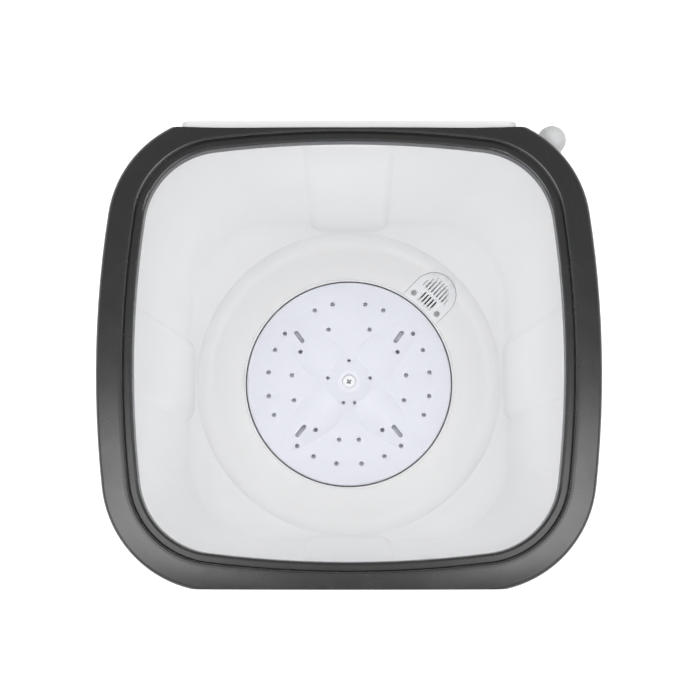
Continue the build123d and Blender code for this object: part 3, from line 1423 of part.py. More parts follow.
cover_depth = cover_back - cabinet_back
cover_screw_sink = 2.4
back_cover_gap = frame_flats(-seat_gap)
with BuildPart() as back_cover:
    extrude(to_extrude=back_plan(0), amount=-cover_depth)
    edge_ring = back_cover.faces().sort_by(Axis.Y)[-1].edges()
    fillet(edge_ring, radius=1.6)
    with BuildPart(mode=Mode.PRIVATE) as tray_void:
        extrude(to_extrude=back_plan(-back_cover_wall), amount=-(cover_depth - back_cover_wall))
        with BuildSketch(Plane.XY.offset(skirt_bottom - seat_gap - back_cover_wall)):
            Rectangle(2 * opening_width, 2 * opening_width)
        extrude(amount=60, mode=Mode.SUBTRACT)
    add(tray_void.part, mode=Mode.SUBTRACT)
    with BuildPart(mode=Mode.PRIVATE) as behind_frame:
        extrude(to_extrude=back_cover_gap, amount=overall_height)
        with BuildSketch():
            Rectangle(3 * opening_width, 3 * opening_width)
        extrude(amount=skirt_bottom - seat_gap, mode=Mode.SUBTRACT)
    add(behind_frame.part, mode=Mode.SUBTRACT)
    with BuildSketch(front_plane(cabinet_back)):
        with Locations(*cover_boss_spots):
            Circle(5.5)
    extrude(amount=-(cover_depth - back_cover_wall / 2))
    with BuildSketch(front_plane(cabinet_back - 1)):
        with Locations(*cover_boss_spots):
            Circle(small_screw_radius + hole_clearance)
    extrude(amount=-(cover_depth + 2), mode=Mode.SUBTRACT)
    with BuildSketch(front_plane(cover_back - cover_screw_sink)):
        with Locations(*cover_boss_spots):
            Circle(3.4)
    extrude(amount=-(cover_screw_sink + 1), mode=Mode.SUBTRACT)
    with BuildSketch(front_plane(cover_back + 1)):
        with Locations((0, vent_level)):
            with GridLocations(vent_length + 14, vent_pitch, 2, vent_rows):
                SlotOverall(vent_length, vent_width)
    extrude(amount=back_cover_wall + 2, mode=Mode.SUBTRACT)
back_cover.part.label = "back_cover"
export_step(back_cover.part, "parts/back_cover.step")

with BuildPart() as back_cover_screws:
    with BuildSketch(front_plane(cover_back - cover_screw_sink)):
        with Locations(*cover_boss_spots):
            Circle(3.0)
    extrude(amount=-1.8)
    with BuildSketch(front_plane(cover_back - cover_screw_sink)):
        with Locations(*cover_boss_spots):
            Circle(small_screw_radius)
    extrude(amount=cover_depth + 2)
back_cover_screws.part.label = "back_cover_screws"
export_step(back_cover_screws.part, "parts/back_cover_screws.step")


# Control panel, low on the front below the tub
panel_face = -cabinet_front - panel_plate
panel_floor = panel_face + panel_plate + panel_recess
control_boss_length = 8.0
timer_box = (52.0, 44.0, 30.0)
selector_box = (34.0, 34.0, 22.0)
timer_ears = 31.0
selector_ears = 22.0
ear_spots = [(timer_x - timer_ears, panel_level), (timer_x + timer_ears, panel_level),
             (selector_x - selector_ears, panel_level), (selector_x + selector_ears, panel_level)]
control_boss_radius = 3.6
control_ear = 2.4
with BuildPart() as control_panel:
    with BuildSketch(front_plane(-cabinet_front)):
        with Locations((0, panel_level)):
            RectangleRounded(panel_width, panel_height, 8)
    extrude(amount=panel_plate)
    with BuildSketch(front_plane(panel_floor + panel_plate)):
        with Locations((0, panel_level)):
            Rectangle(panel_cut_width - 2 * hole_clearance, panel_cut_height - 2 * hole_clearance)
    extrude(amount=panel_recess + panel_plate)
    with BuildSketch(front_plane(panel_floor)):
        with Locations((0, panel_level)):
            RectangleRounded(panel_cut_width - 2 * panel_plate, panel_cut_height - 2 * panel_plate, 6)
    extrude(amount=panel_recess + panel_plate + 1, mode=Mode.SUBTRACT)
    with BuildSketch(front_plane(panel_floor + panel_plate + control_boss_length)):
        with Locations(*ear_spots):
            Circle(control_boss_radius)
    extrude(amount=control_boss_length)
    with BuildSketch(front_plane(panel_floor + panel_plate + control_boss_length)):
        with Locations(*ear_spots):
            Circle(small_screw_radius + running_clearance)
    extrude(amount=control_boss_length - 1, mode=Mode.SUBTRACT)
    with BuildSketch(front_plane(panel_floor + panel_plate + 1)):
        with Locations((timer_x, panel_level), (selector_x, panel_level)):
            Circle(control_shaft_radius + hole_clearance)
    extrude(amount=panel_plate + 2, mode=Mode.SUBTRACT)
    with BuildSketch(front_plane(-cabinet_front)):
        with Locations(*panel_screw_spots):
            Circle(small_screw_radius + hole_clearance)
    extrude(amount=panel_plate, mode=Mode.SUBTRACT)
    with BuildSketch(front_plane(panel_face + 1.4)):
        with Locations(*panel_screw_spots):
            Circle(2.9)
    extrude(amount=2, mode=Mode.SUBTRACT)
control_panel.part.label = "control_panel"
export_step(control_panel.part, "parts/control_panel.step")

with BuildPart() as panel_screws:
    with BuildSketch(front_plane(panel_face + 1.4)):
        with Locations(*panel_screw_spots):
            Circle(2.6)
    extrude(amount=1.2)
    with BuildSketch(front_plane(panel_face + 1.4)):
        with Locations(*panel_screw_spots):
            Circle(small_screw_radius)
    extrude(amount=-9)
panel_screws.part.label = "panel_screws"
export_step(panel_screws.part, "parts/panel_screws.step")

shaft_socket = 9.0
socket_depth = 10.0
box_front = panel_floor + panel_plate


def control_box(x, size, ears):
    """Switch body behind the panel, with two ears on the panel's bosses and a bore for its shaft."""
    width, height, depth = size
    ear_back = box_front + control_boss_length + control_ear
    with BuildPart() as box:
        with BuildSketch(front_plane(box_front + depth)):
            with Locations((x, panel_level)):
                RectangleRounded(width, height, 3)
        extrude(amount=depth)
        with BuildSketch(front_plane(ear_back)):
            with Locations((x, panel_level)):
                SlotOverall(2 * ears + 12, 12)
        extrude(amount=control_ear)
        with BuildSketch(front_plane(ear_back + 1)):
            with Locations((x - ears, panel_level), (x + ears, panel_level)):
                Circle(small_screw_radius + hole_clearance)
        extrude(amount=control_ear + 2, mode=Mode.SUBTRACT)
        with BuildSketch(front_plane(box_front + socket_depth)):
            with Locations((x, panel_level)):
                Circle(control_shaft_radius + running_clearance)
        extrude(amount=socket_depth + 1, mode=Mode.SUBTRACT)
        with BuildSketch(front_plane(box_front + depth + 8)):
            with Locations((x - 8, panel_level), (x, panel_level), (x + 8, panel_level)):
                Rectangle(0.8, 6.3)
        extrude(amount=8.5)
    return box


timer_body = control_box(timer_x, timer_box, timer_ears)
timer_body.part.label = "timer_body"
export_step(timer_body.part, "parts/timer_body.step")

selector_switch = control_box(selector_x, selector_box, selector_ears)
selector_switch.part.label = "selector_switch"
export_step(selector_switch.part, "parts/selector_switch.step")

control_screw_back = box_front + control_boss_length + control_ear
with BuildPart() as control_screws:
    with BuildSketch(front_plane(control_screw_back)):
        with Locations(*ear_spots):
            Circle(2.8)
    extrude(amount=-1.8)
    with BuildSketch(front_plane(control_screw_back)):
        with Locations(*ear_spots):
            Circle(small_screw_radius)
    extrude(amount=control_ear + control_boss_length - 2)
control_screws.part.label = "control_screws"
export_step(control_screws.part, "parts/control_screws.step")


def control_shaft(x):
    """Round shaft from the switch body to the knob's socket."""
    with BuildPart() as shaft:
        with BuildSketch(front_plane(box_front + socket_depth - 1)):
            with Locations((x, panel_level)):
                Circle(control_shaft_radius)
        extrude(amount=socket_depth - 1 + panel_plate + seat_gap + shaft_socket - 1)
    return shaft


timer_shaft = control_shaft(timer_x)
timer_shaft.part.label = "timer_shaft"
export_step(timer_shaft.part, "parts/timer_shaft.step")
selector_shaft = control_shaft(selector_x)
selector_shaft.part.label = "selector_shaft"
export_step(selector_shaft.part, "parts/selector_shaft.step")


def knob(x, radius, turn):
    """Knob with a skirt disc, a grip bar and a pointer groove, turned from the upright."""
    back = panel_floor - seat_gap
    disc = 4.0
    with BuildPart() as body:
        with BuildSketch(front_plane(back)):
            with Locations((x, panel_level)):
                Circle(radius)
        extrude(amount=disc)
        chamfer(body.faces().sort_by(Axis.Y)[0].edges(), length=0.8)
        with BuildSketch(front_plane(back - disc + 1)):
            with Locations(Location((x, panel_level), turn + 90)):
                SlotOverall(2 * radius - 5, radius * 0.62)
        extrude(amount=knob_height - disc + 1, taper=4)
        with BuildSketch(front_plane(back - knob_height + 0.8)):
            with Locations(Location((x, panel_level), turn + 90)):
                with Locations((radius * 0.55, 0)):
                    SlotOverall(radius * 0.5, 2.0)
        extrude(amount=3, mode=Mode.SUBTRACT)
        with BuildSketch(front_plane(back + 1)):
            with Locations((x, panel_level)):
                Circle(control_shaft_radius + running_clearance)
        extrude(amount=shaft_socket + 1, mode=Mode.SUBTRACT)
    return body


timer_knob = knob(timer_x, timer_knob_radius, 0)
timer_knob.part.label = "timer_knob"
export_step(timer_knob.part, "parts/timer_knob.step")
selector_knob = knob(selector_x, selector_knob_radius, 45)
selector_knob.part.label = "selector_knob"
export_step(selector_knob.part, "parts/selector_knob.step")


# Motor capacitor on the base, with its clamp and screw
capacitor_x = 120.0
capacitor_y = -90.0
capacitor_radius = 17.5
capacitor_height = 60.0
strap = 1.5
strap_low = base_floor + 18.0
strap_width = 12.0
tab_length = 16.0
with BuildPart() as capacitor:
    with Locations((capacitor_x, capacitor_y, base_floor)):
        Cylinder(capacitor_radius, capacitor_height, align=(Align.CENTER, Align.CENTER, Align.MIN))
    chamfer(capacitor.faces().sort_by(Axis.Z)[-1].edges(), length=1.2)
    with BuildSketch(Plane.XY.offset(base_floor + capacitor_height - 0.5)):
        with Locations((capacitor_x - 6, capacitor_y), (capacitor_x + 6, capacitor_y)):
            Rectangle(0.8, 6.3)
    extrude(amount=8)
capacitor.part.label = "capacitor"
export_step(capacitor.part, "parts/capacitor.step")

strap_inner = capacitor_radius + running_clearance
tab_x = capacitor_x - strap_inner - tab_length / 2
with BuildPart() as capacitor_clamp:
    with BuildSketch(Plane.XY.offset(strap_low)):
        with Locations((capacitor_x, capacitor_y)):
            Circle(strap_inner + strap)
            Circle(strap_inner, mode=Mode.SUBTRACT)
    extrude(amount=strap_width)
    with BuildSketch(Plane.XY.offset(base_floor)):
        with Locations((capacitor_x - strap_inner - strap / 2 - 0.4, capacitor_y)):
            Rectangle(strap, strap_width)
    extrude(amount=strap_low - base_floor + strap_width)
    with BuildSketch(Plane.XY.offset(base_floor)):
        with Locations((tab_x, capacitor_y)):
            Rectangle(tab_length, strap_width)
        with Locations((tab_x, capacitor_y)):
            Circle(small_screw_radius + hole_clearance, mode=Mode.SUBTRACT)
    extrude(amount=strap)
    with Locations((capacitor_x, capacitor_y, base_floor - 1)):
        Cylinder(strap_inner, capacitor_height, align=(Align.CENTER, Align.CENTER, Align.MIN),
                 mode=Mode.SUBTRACT)
capacitor_clamp.part.label = "capacitor_clamp"
export_step(capacitor_clamp.part, "parts/capacitor_clamp.step")
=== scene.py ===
from math import cos, radians, sin

import bmesh
import bpy
from mathutils import Matrix, Vector


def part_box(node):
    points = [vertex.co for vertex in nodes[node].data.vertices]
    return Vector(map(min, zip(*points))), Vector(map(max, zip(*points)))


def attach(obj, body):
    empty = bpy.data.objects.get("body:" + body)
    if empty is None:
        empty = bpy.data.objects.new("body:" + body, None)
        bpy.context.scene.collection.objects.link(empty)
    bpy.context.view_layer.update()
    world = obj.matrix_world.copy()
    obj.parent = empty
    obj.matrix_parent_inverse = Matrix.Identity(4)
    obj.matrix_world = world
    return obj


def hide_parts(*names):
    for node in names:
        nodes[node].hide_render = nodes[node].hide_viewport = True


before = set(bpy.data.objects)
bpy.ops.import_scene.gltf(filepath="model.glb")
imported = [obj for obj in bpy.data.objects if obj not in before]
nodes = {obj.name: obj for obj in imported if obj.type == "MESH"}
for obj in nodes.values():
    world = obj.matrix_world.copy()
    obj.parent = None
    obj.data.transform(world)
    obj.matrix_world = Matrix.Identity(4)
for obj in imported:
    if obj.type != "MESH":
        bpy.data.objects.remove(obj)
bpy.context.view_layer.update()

# The scene is in metres, Z up, the front faces -Y. Pieces made here are sized in mm and degrees.
scene = bpy.context.scene

# Camera, fitted to the photo's outlines
camera_y = -0.1233
camera_z = 1.6105
camera_tilt = 6.93
image_pixels = 700
focal_pixels = 1215
shift_pixels = 1
sensor_width = 36.0

# Shares that all finishes have in common
tone_stops = (0.3, 0.7)
wear_per_cloud = 6
bump_strength = 0.5
least_rough = 0.02


# Materials
def material(name, colour, rough, metallic=0.0, variation=0.03, cloud=9.0, grain=900.0,
             grain_depth=0.00004, rough_spread=0.06, coat=0.0, specular=0.5, stretch=(1, 1, 1),
             painted_bottom_shade=None):
    """Node material: cloudy colour, uneven gloss and a fine grain in the surface.

    The optional painted shade darkens the colour towards the bottom of a part, standing in for
    the dimmer light there: two heights in metres and the tone under the lower one.
    """
    mat = bpy.data.materials.new(name)
    mat.use_nodes = True
    tree = mat.node_tree
    make = tree.nodes.new
    link = tree.links.new
    shader = tree.nodes["Principled BSDF"]
    shader.inputs["Metallic"].default_value = metallic
    shader.inputs["Coat Weight"].default_value = coat
    shader.inputs["Specular IOR Level"].default_value = specular

    place = make("ShaderNodeTexCoord")
    mapping = make("ShaderNodeMapping")
    mapping.inputs["Scale"].default_value = stretch
    link(place.outputs["Object"], mapping.inputs["Vector"])

    def noise(scale, detail):
        """Noise on the object's own coordinates."""
        node = make("ShaderNodeTexNoise")
        node.inputs["Scale"].default_value = scale
        node.inputs["Detail"].default_value = detail
        link(mapping.outputs["Vector"], node.inputs["Vector"])
        return node.outputs["Fac"]

    clouds = noise(cloud, 4.0)
    ramp = make("ShaderNodeValToRGB")
    low = [max(c * (1 - variation), 0) for c in colour]
    high = [min(c * (1 + variation), 1) for c in colour]
    for element, position, tone in zip(ramp.color_ramp.elements, tone_stops, (low, high)):
        element.position = position
        element.color = (*tone, 1)
    link(clouds, ramp.inputs["Fac"])
    # Painted shade: below the given heights the colour is scaled darker, standing in for the
    # dimmer light low in the part.
    if painted_bottom_shade:
        height = make("ShaderNodeSeparateXYZ")
        link(place.outputs["Object"], height.inputs["Vector"])
        fade = make("ShaderNodeMapRange")
        fade.interpolation_type = "SMOOTHSTEP"
        fade.inputs["From Min"].default_value = painted_bottom_shade[0]
        fade.inputs["From Max"].default_value = painted_bottom_shade[1]
        fade.inputs["To Min"].default_value = painted_bottom_shade[2]
        fade.inputs["To Max"].default_value = 1
        link(height.outputs["Z"], fade.inputs["Value"])
        tone = make("ShaderNodeVectorMath")
        tone.operation = "SCALE"
        link(ramp.outputs["Color"], tone.inputs[0])
        link(fade.outputs["Result"], tone.inputs["Scale"])
        link(tone.outputs["Vector"], shader.inputs["Base Color"])
    else:
        link(ramp.outputs["Color"], shader.inputs["Base Color"])

    wear = noise(cloud * wear_per_cloud, 6.0)
    gloss = make("ShaderNodeMapRange")
    gloss.inputs["To Min"].default_value = max(rough - rough_spread, least_rough)
    gloss.inputs["To Max"].default_value = min(rough + rough_spread, 1.0)
    link(wear, gloss.inputs["Value"])
    link(gloss.outputs["Result"], shader.inputs["Roughness"])

    skin = noise(grain, 3.0)
    bump = make("ShaderNodeBump")
    bump.inputs["Strength"].default_value = bump_strength
    bump.inputs["Distance"].default_value = grain_depth
    link(skin, bump.inputs["Height"])
    link(bump.outputs["Normal"], shader.inputs["Normal"])
    return mat


frame_grey = material("frame_grey_plastic", (0.011, 0.0113, 0.012), 0.26, grain=1400,
                      grain_depth=0.00003, specular=1.0)
# The tub's white holds painted shade: its colour darkens towards the floor, standing in for the
# dimmer light down there.
tub_white = material("tub_white_plastic", (0.92, 0.922, 0.925), 0.36, variation=0.012, cloud=5,
                     painted_bottom_shade=(0.305, 0.37, 0.91))
pulsator_white = material("pulsator_bluish_plastic", (0.81, 0.82, 0.89), 0.32, variation=0.012,
                          cloud=12)
cap_white = material("screw_cap_plastic", (0.95, 0.955, 0.96), 0.22, variation=0.01, cloud=60)
print_grey = material("dial_print", (0.62, 0.63, 0.64), 0.5, variation=0.04, cloud=200)
cover_tone = material("filter_cover_plastic", (0.85, 0.86, 0.88), 0.32, variation=0.012,
                      cloud=20)
cabinet_white = material("cabinet_white_plastic", (0.78, 0.78, 0.78), 0.36, variation=0.012,
                         cloud=4, grain=1100)
base_grey = material("base_grey_plastic", (0.055, 0.056, 0.06), 0.5, grain=1200,
                     grain_depth=0.00006)
strip_white = material("back_cover_plastic", (0.88, 0.88, 0.88), 0.4, variation=0.012, cloud=6,
                       grain=1100)
hose_grey = material("hose_grey_plastic", (0.50, 0.51, 0.52), 0.45, variation=0.05, cloud=30)
elbow_grey = material("elbow_grey_plastic", (0.59, 0.595, 0.6), 0.42, variation=0.04, cloud=40)
knob_grey = material("knob_grey_plastic", (0.085, 0.086, 0.09), 0.4, grain=1500)
screw_steel = material("plated_screw_steel", (0.62, 0.62, 0.63), 0.3, metallic=1.0, cloud=220,
                       variation=0.08)
turned_steel = material("turned_steel", (0.64, 0.64, 0.65), 0.26, metallic=1.0, cloud=60,
                        variation=0.05, grain=500, stretch=(1, 1, 18))
dull_steel = material("dull_plated_steel", (0.46, 0.46, 0.45), 0.42, metallic=1.0, cloud=90,
                      variation=0.1)
sheet_zinc = material("zinc_coated_sheet", (0.52, 0.53, 0.55), 0.4, metallic=1.0, cloud=60,
                      variation=0.14)
cast_alloy = material("cast_alloy", (0.5, 0.5, 0.51), 0.5, metallic=1.0, cloud=70,
                      variation=0.07, grain=700, grain_depth=0.00012)
core_steel = material("laminated_core_steel", (0.26, 0.26, 0.27), 0.5, metallic=1.0, cloud=80,
                      variation=0.1, grain=380, grain_depth=0.0001, stretch=(0.02, 0.02, 5))
can_alloy = material("drawn_can_alloy", (0.6, 0.6, 0.61), 0.28, metallic=1.0, cloud=50,
                     stretch=(1, 1, 9))
bronze = material("sintered_bronze", (0.5, 0.32, 0.16), 0.5, metallic=1.0, cloud=160,
                  variation=0.1)
copper = material("varnished_copper_wire", (0.48, 0.17, 0.06), 0.35, metallic=0.8, cloud=120,
                  variation=0.2, grain=420, grain_depth=0.0004, coat=0.4)
black_rubber = material("black_rubber", (0.03, 0.03, 0.031), 0.75, cloud=60, variation=0.15,
                        grain=900, grain_depth=0.0001)
belt_rubber = material("belt_rubber", (0.022, 0.022, 0.023), 0.8, cloud=80, variation=0.2,
                       grain=1300, grain_depth=0.00015)
natural_plastic = material("natural_glass_filled_plastic", (0.66, 0.65, 0.6), 0.5, cloud=40,
                           variation=0.03)
ivory_plastic = material("ivory_switch_plastic", (0.68, 0.66, 0.58), 0.45, cloud=60,
                         variation=0.03)
black_plastic = material("black_fan_plastic", (0.03, 0.03, 0.032), 0.5, cloud=60, variation=0.1)

finishes = {
    frame_grey: ("top_frame", "control_panel"),
    tub_white: ("inner_tub", "drain_sump"),
    pulsator_white: ("pulsator",),
    cover_tone: ("drain_filter_cover",),
    cabinet_white: ("outer_cabinet", "hose_clips", "hose_parking_peg"),
    base_grey: ("base_frame",),
    strip_white: ("back_cover",),
    hose_grey: ("drain_hose", "inner_drain_hose"),
    elbow_grey: ("hose_end_elbow", "outlet_elbow"),
    knob_grey: ("timer_knob", "selector_knob"),
    screw_steel: ("pulsator_screw", "frame_screws", "filter_cover_screws", "base_screws",
                  "foot_screws", "back_cover_screws", "panel_screws", "control_screws"),
    turned_steel: ("pulsator_shaft", "motor_shaft", "motor_bearings", "timer_shaft",
                   "selector_shaft"),
    dull_steel: ("plate_bolts", "housing_bolts", "pulley_nut", "motor_bolts"),
    sheet_zinc: ("drive_plate", "hose_clamps", "capacitor_clamp"),
    cast_alloy: ("motor_top_cover", "motor_bottom_cover", "motor_pulley"),
    core_steel: ("stator_core", "motor_rotor"),
    can_alloy: ("capacitor",),
    bronze: ("upper_bush", "lower_bush"),
    copper: ("motor_windings",),
    black_rubber: ("water_seal", "hub_gasket", "motor_mounts", "feet", "cord_grommet"),
    belt_rubber: ("drive_belt",),
    natural_plastic: ("bearing_housing", "large_pulley"),
    ivory_plastic: ("timer_body", "selector_switch"),
    black_plastic: ("motor_fan",),
}
for finish, names in finishes.items():
    for name in names:
        nodes[name].data.materials.clear()
        nodes[name].data.materials.append(finish)


# Pieces made here
weld_distance = 0.000002


def add_piece(name, mesh, finish, body):
    """Put a mesh in the scene with its finish, riding on one body."""
    mesh.materials.append(finish)
    piece = bpy.data.objects.new(name, mesh)
    scene.collection.objects.link(piece)
    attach(piece, body)
    return piece


def to_mesh(name, shape, sharp=None):
    """Mesh of a bmesh with its faces outward, and smooth where a sharp angle is given."""
    mesh = bpy.data.meshes.new(name)
    bmesh.ops.recalc_face_normals(shape, faces=shape.faces)
    shape.to_mesh(mesh)
    shape.free()
    if sharp is not None:
        for face in mesh.polygons:
            face.use_smooth = True
        mesh.set_sharp_from_angle(angle=radians(sharp))
    return mesh


def turned(name, profile, centre=(0, 0), steps=144, sharp=35):
    """Mesh of a closed outline of (radius, height), turned round an upright axis."""
    shape = bmesh.new()
    rows = []
    for step in range(steps):
        turn = radians(step * 360 / steps)
        rows.append([shape.verts.new(((centre[0] + radius * cos(turn)) / 1000,
                                      (centre[1] + radius * sin(turn)) / 1000,
                                      height / 1000)) for radius, height in profile])
    for step in range(steps):
        near, far = rows[step], rows[(step + 1) % steps]
        for i in range(len(profile)):
            j = (i + 1) % len(profile)
            shape.faces.new((near[i], near[j], far[j], far[i]))
    bmesh.ops.remove_doubles(shape, verts=shape.verts, dist=weld_distance)
    return to_mesh(name, shape, sharp)


def mid(node, axis):
    """Middle of a node's box along one axis."""
    low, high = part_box(node)
    return (low[axis] + high[axis]) * 500


floor_level = 298.5

# Disc under the pulsator's holes, at its hub, that keeps buttons and coins out of the drive
disc_crown = ((106, 0.15), (58, 2.3), (49.5, 3.2), (41, 4.9), (32.5, 7.5), (24, 11), (17, 15),
              (15.6, 15.7))
disc_drop = 5.2
disc_wall = 1.2
disc = [(radius, floor_level + rise - disc_drop) for radius, rise in disc_crown]
disc += [(radius, height - disc_wall) for radius, height in reversed(disc)]
add_piece("pulsator_inner_disc", turned("pulsator_inner_disc", disc), pulsator_white,
          "pulsator")

# Bead on the wall of the pulsator's recess
bead_outline = ((113.5, -4.0), (112.3, -3.4), (112.0, -2.7), (112.0, -1.8), (112.3, -1.3),
                (112.9, -1.05), (113.5, -1.1))
bead = [(radius, floor_level + rise) for radius, rise in bead_outline]
add_piece("recess_bead", turned("recess_bead", bead, steps=256), tub_white, "machine")

# Sloping half-round plate under the outer slots of the drain filter cover
hose_x = mid("drain_hose", 0)
hose_y = mid("drain_hose", 1)
drain = Vector((hose_x, hose_y)).normalized()
plate_start = 134.3
plate_radius = 14.2
plate_wall = 1.0
plate_drop = 7.5
plate_slope = 0.3
plate_edge = 0.4
plate_count = 25
plate_spots = []
for below in (0, plate_wall):
    for step in range(plate_count):
        turn = radians(-90 + step * 180 / (plate_count - 1))
        out = max(plate_radius * cos(turn), plate_edge)
        across = plate_radius * sin(turn)
        spot = drain * (plate_start + out) + Vector((-drain.y, drain.x)) * across
        level = floor_level - plate_drop + plate_slope * out - below
        plate_spots.append((spot.x / 1000, spot.y / 1000, level / 1000))
plate_faces = [list(range(plate_count)), list(range(2 * plate_count - 1, plate_count - 1, -1))]
for i in range(plate_count):
    j = (i + 1) % plate_count
    plate_faces.append((i, i + plate_count, j + plate_count, j))
plate_mesh = bpy.data.meshes.new("sump_funnel")
plate_mesh.from_pydata(plate_spots, [], plate_faces)
add_piece("sump_funnel", plate_mesh, cover_tone, "machine")

# Pulsator screw: a domed cap with a ring groove and a cross recess, on its shank
cap_seat = 313.3
cap_steps = 144
cap_radius = 7.2
cap_profile = ((0, 3.55), (1, 3.53), (2, 3.46), (3, 3.34), (4, 3.16), (4.8, 2.97), (5.4, 2.75),
               (5.8, 2.45), (6.0, 2.1), (6.05, 1.5), (6.9, 1.4), (7.1, 1.3), (cap_radius, 1.1))
shank_radius = 3.0
shank_chamfer = 0.6
shank_length = 20.0
cross_turn = radians(35)
cross_width = 0.85
cross_width_slope = 0.25
cross_reach = 3.0
cross_reach_slope = 0.6
cross_deepest = 2.6
cross_taper = 0.3
cross_seen = 0.2


def cap_rise(radius):
    """Height of the cap's top over its seat."""
    for (r0, z0), (r1, z1) in zip(cap_profile, cap_profile[1:]):
        if radius <= r1:
            return z0 + (z1 - z0) * (radius - r0) / (r1 - r0)
    return cap_profile[-1][1]


def cross_depth(across, along):
    """Depth of the cross recess at a point of the cap."""
    deepest = 0
    for u, v in ((across, along), (along, across)):
        side = min(max((cross_width - abs(u)) / cross_width_slope, 0), 1)
        end = min(max((cross_reach - abs(v)) / cross_reach_slope, 0), 1)
        deepest = max(deepest, side * end * (cross_deepest - cross_taper * abs(v)))
    return deepest


screw_shape = bmesh.new()
cap_radii = [i * 0.2 for i in range(1, 31)] + [6.05, 6.3, 6.9, 7.1, cap_radius]
shank = [(cap_radius, 0), (shank_radius, 0), (shank_radius, shank_chamfer - shank_length),
         (shank_radius - shank_chamfer, -shank_length)]
centre_level = cap_seat + cap_rise(0) - cross_depth(0, 0)
centre_vert = screw_shape.verts.new((0, 0, centre_level / 1000))
last = None
for radius, height in [(radius, None) for radius in cap_radii] + shank:
    ring = []
    for step in range(cap_steps):
        turn = radians(step * 360 / cap_steps)
        level = height
        if level is None:
            level = cap_rise(radius) - cross_depth(radius * cos(turn - cross_turn),
                                                   radius * sin(turn - cross_turn))
        ring.append(screw_shape.verts.new((radius * cos(turn) / 1000, radius * sin(turn) / 1000,
                                           (cap_seat + level) / 1000)))
    for step in range(cap_steps):
        after = (step + 1) % cap_steps
        if last is None:
            screw_shape.faces.new((centre_vert, ring[step], ring[after]))
        else:
            screw_shape.faces.new((last[step], ring[step], ring[after], last[after]))
    last = ring
screw_shape.faces.new(last)
screw_mesh = to_mesh("pulsator_cap_screw", screw_shape, 40)
cap_screw = add_piece("pulsator_cap_screw", screw_mesh, cap_white, "pulsator")
screw_mesh.materials.append(dull_steel)
for face in screw_mesh.polygons:
    x, y, z = face.center * 1000
    across = x * cos(cross_turn) + y * sin(cross_turn)
    along = y * cos(cross_turn) - x * sin(cross_turn)
    if cross_depth(across, along) > cross_seen:
        face.material_index = 1
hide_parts("pulsator_screw")

# Crown of the hose end elbow
elbow_level = 575.5
elbow_radius = 12.5
crown_rise = 10.0
crown_steps = 12
arc = [radians(90 * i / crown_steps) for i in range(crown_steps + 1)]
dome = [(elbow_radius * cos(a), elbow_level + crown_rise + elbow_radius * sin(a)) for a in arc]
inside = [(elbow_radius * cos(a), elbow_level + elbow_radius * sin(a)) for a in reversed(arc)]
add_piece("hose_end_crown", turned("hose_end_crown", dome + inside, (hose_x, hose_y), 72),
          elbow_grey, "machine")

# Corrugated drain hose with plain cuffs; each rib is (share of the pitch, depth)
hose_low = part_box("drain_hose")[0][2] * 1000
hose_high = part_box("drain_hose")[1][2] * 1000
hose_outer = 11.0
hose_inner = 8.5
cuff = 26.0
pitch = 3.8
rib = ((0.12, 0.5), (0.25, 1.5), (0.4, 1.5), (0.55, 0.5), (0.65, 0), (1, 0))
outside = [(hose_outer, hose_low), (hose_outer, hose_low + cuff)]
level = hose_low + cuff
while level + pitch < hose_high - cuff:
    outside += [(hose_outer - depth, level + pitch * share) for share, depth in rib]
    level += pitch
outside += [(hose_outer, hose_high), (hose_inner, hose_high), (hose_inner, hose_low)]
ribbed_mesh = turned("ribbed_drain_hose", outside, (hose_x, hose_y), 40)
ribbed_hose = add_piece("ribbed_drain_hose", ribbed_mesh, hose_grey, "machine")
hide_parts("drain_hose")

# Dial marks on the floor of the control panel, and pointer lines in the knobs' grooves
panel_level = mid("timer_knob", 2)
print_gap = 0.1
print_depth = 0.2
print_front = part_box("timer_knob")[1][1] * 1000 + print_gap
print_back = print_front + print_depth
tick_width = 0.6
tick_gap = 1.0
long_tick = 2.2
short_tick = 1.2
number_gap = 5.6
number_size = 4.6
timer_radius = 22
timer_step = 20
timer_steps = 15
timer_steps_per_number = 3
selector_radius = 17
selector_turns = (-45, 0, 45)
groove_depth = 0.8
line_middle = 0.55
line_share = 0.5
line_cut = 1.6
line_width = 1.5
line_heights = (0.5, 0.02)


def flat_bar(shape, x, z, length, width, turn, front, back):
    """Thin bar on an upright plane, turned clockwise from the upright."""
    along = (sin(radians(turn)), cos(radians(turn)))
    across = (along[1], -along[0])
    verts = []
    for y in (front, back):
        for i, j in ((-1, -1), (1, -1), (1, 1), (-1, 1)):
            spot = (x + along[0] * j * length / 2 + across[0] * i * width / 2, y,
                    z + along[1] * j * length / 2 + across[1] * i * width / 2)
            verts.append(shape.verts.new([value / 1000 for value in spot]))
    shape.faces.new(verts[:4])
    shape.faces.new(verts[:3:-1])
    for i in range(4):
        j = (i + 1) % 4
        shape.faces.new((verts[i], verts[j], verts[j + 4], verts[i + 4]))


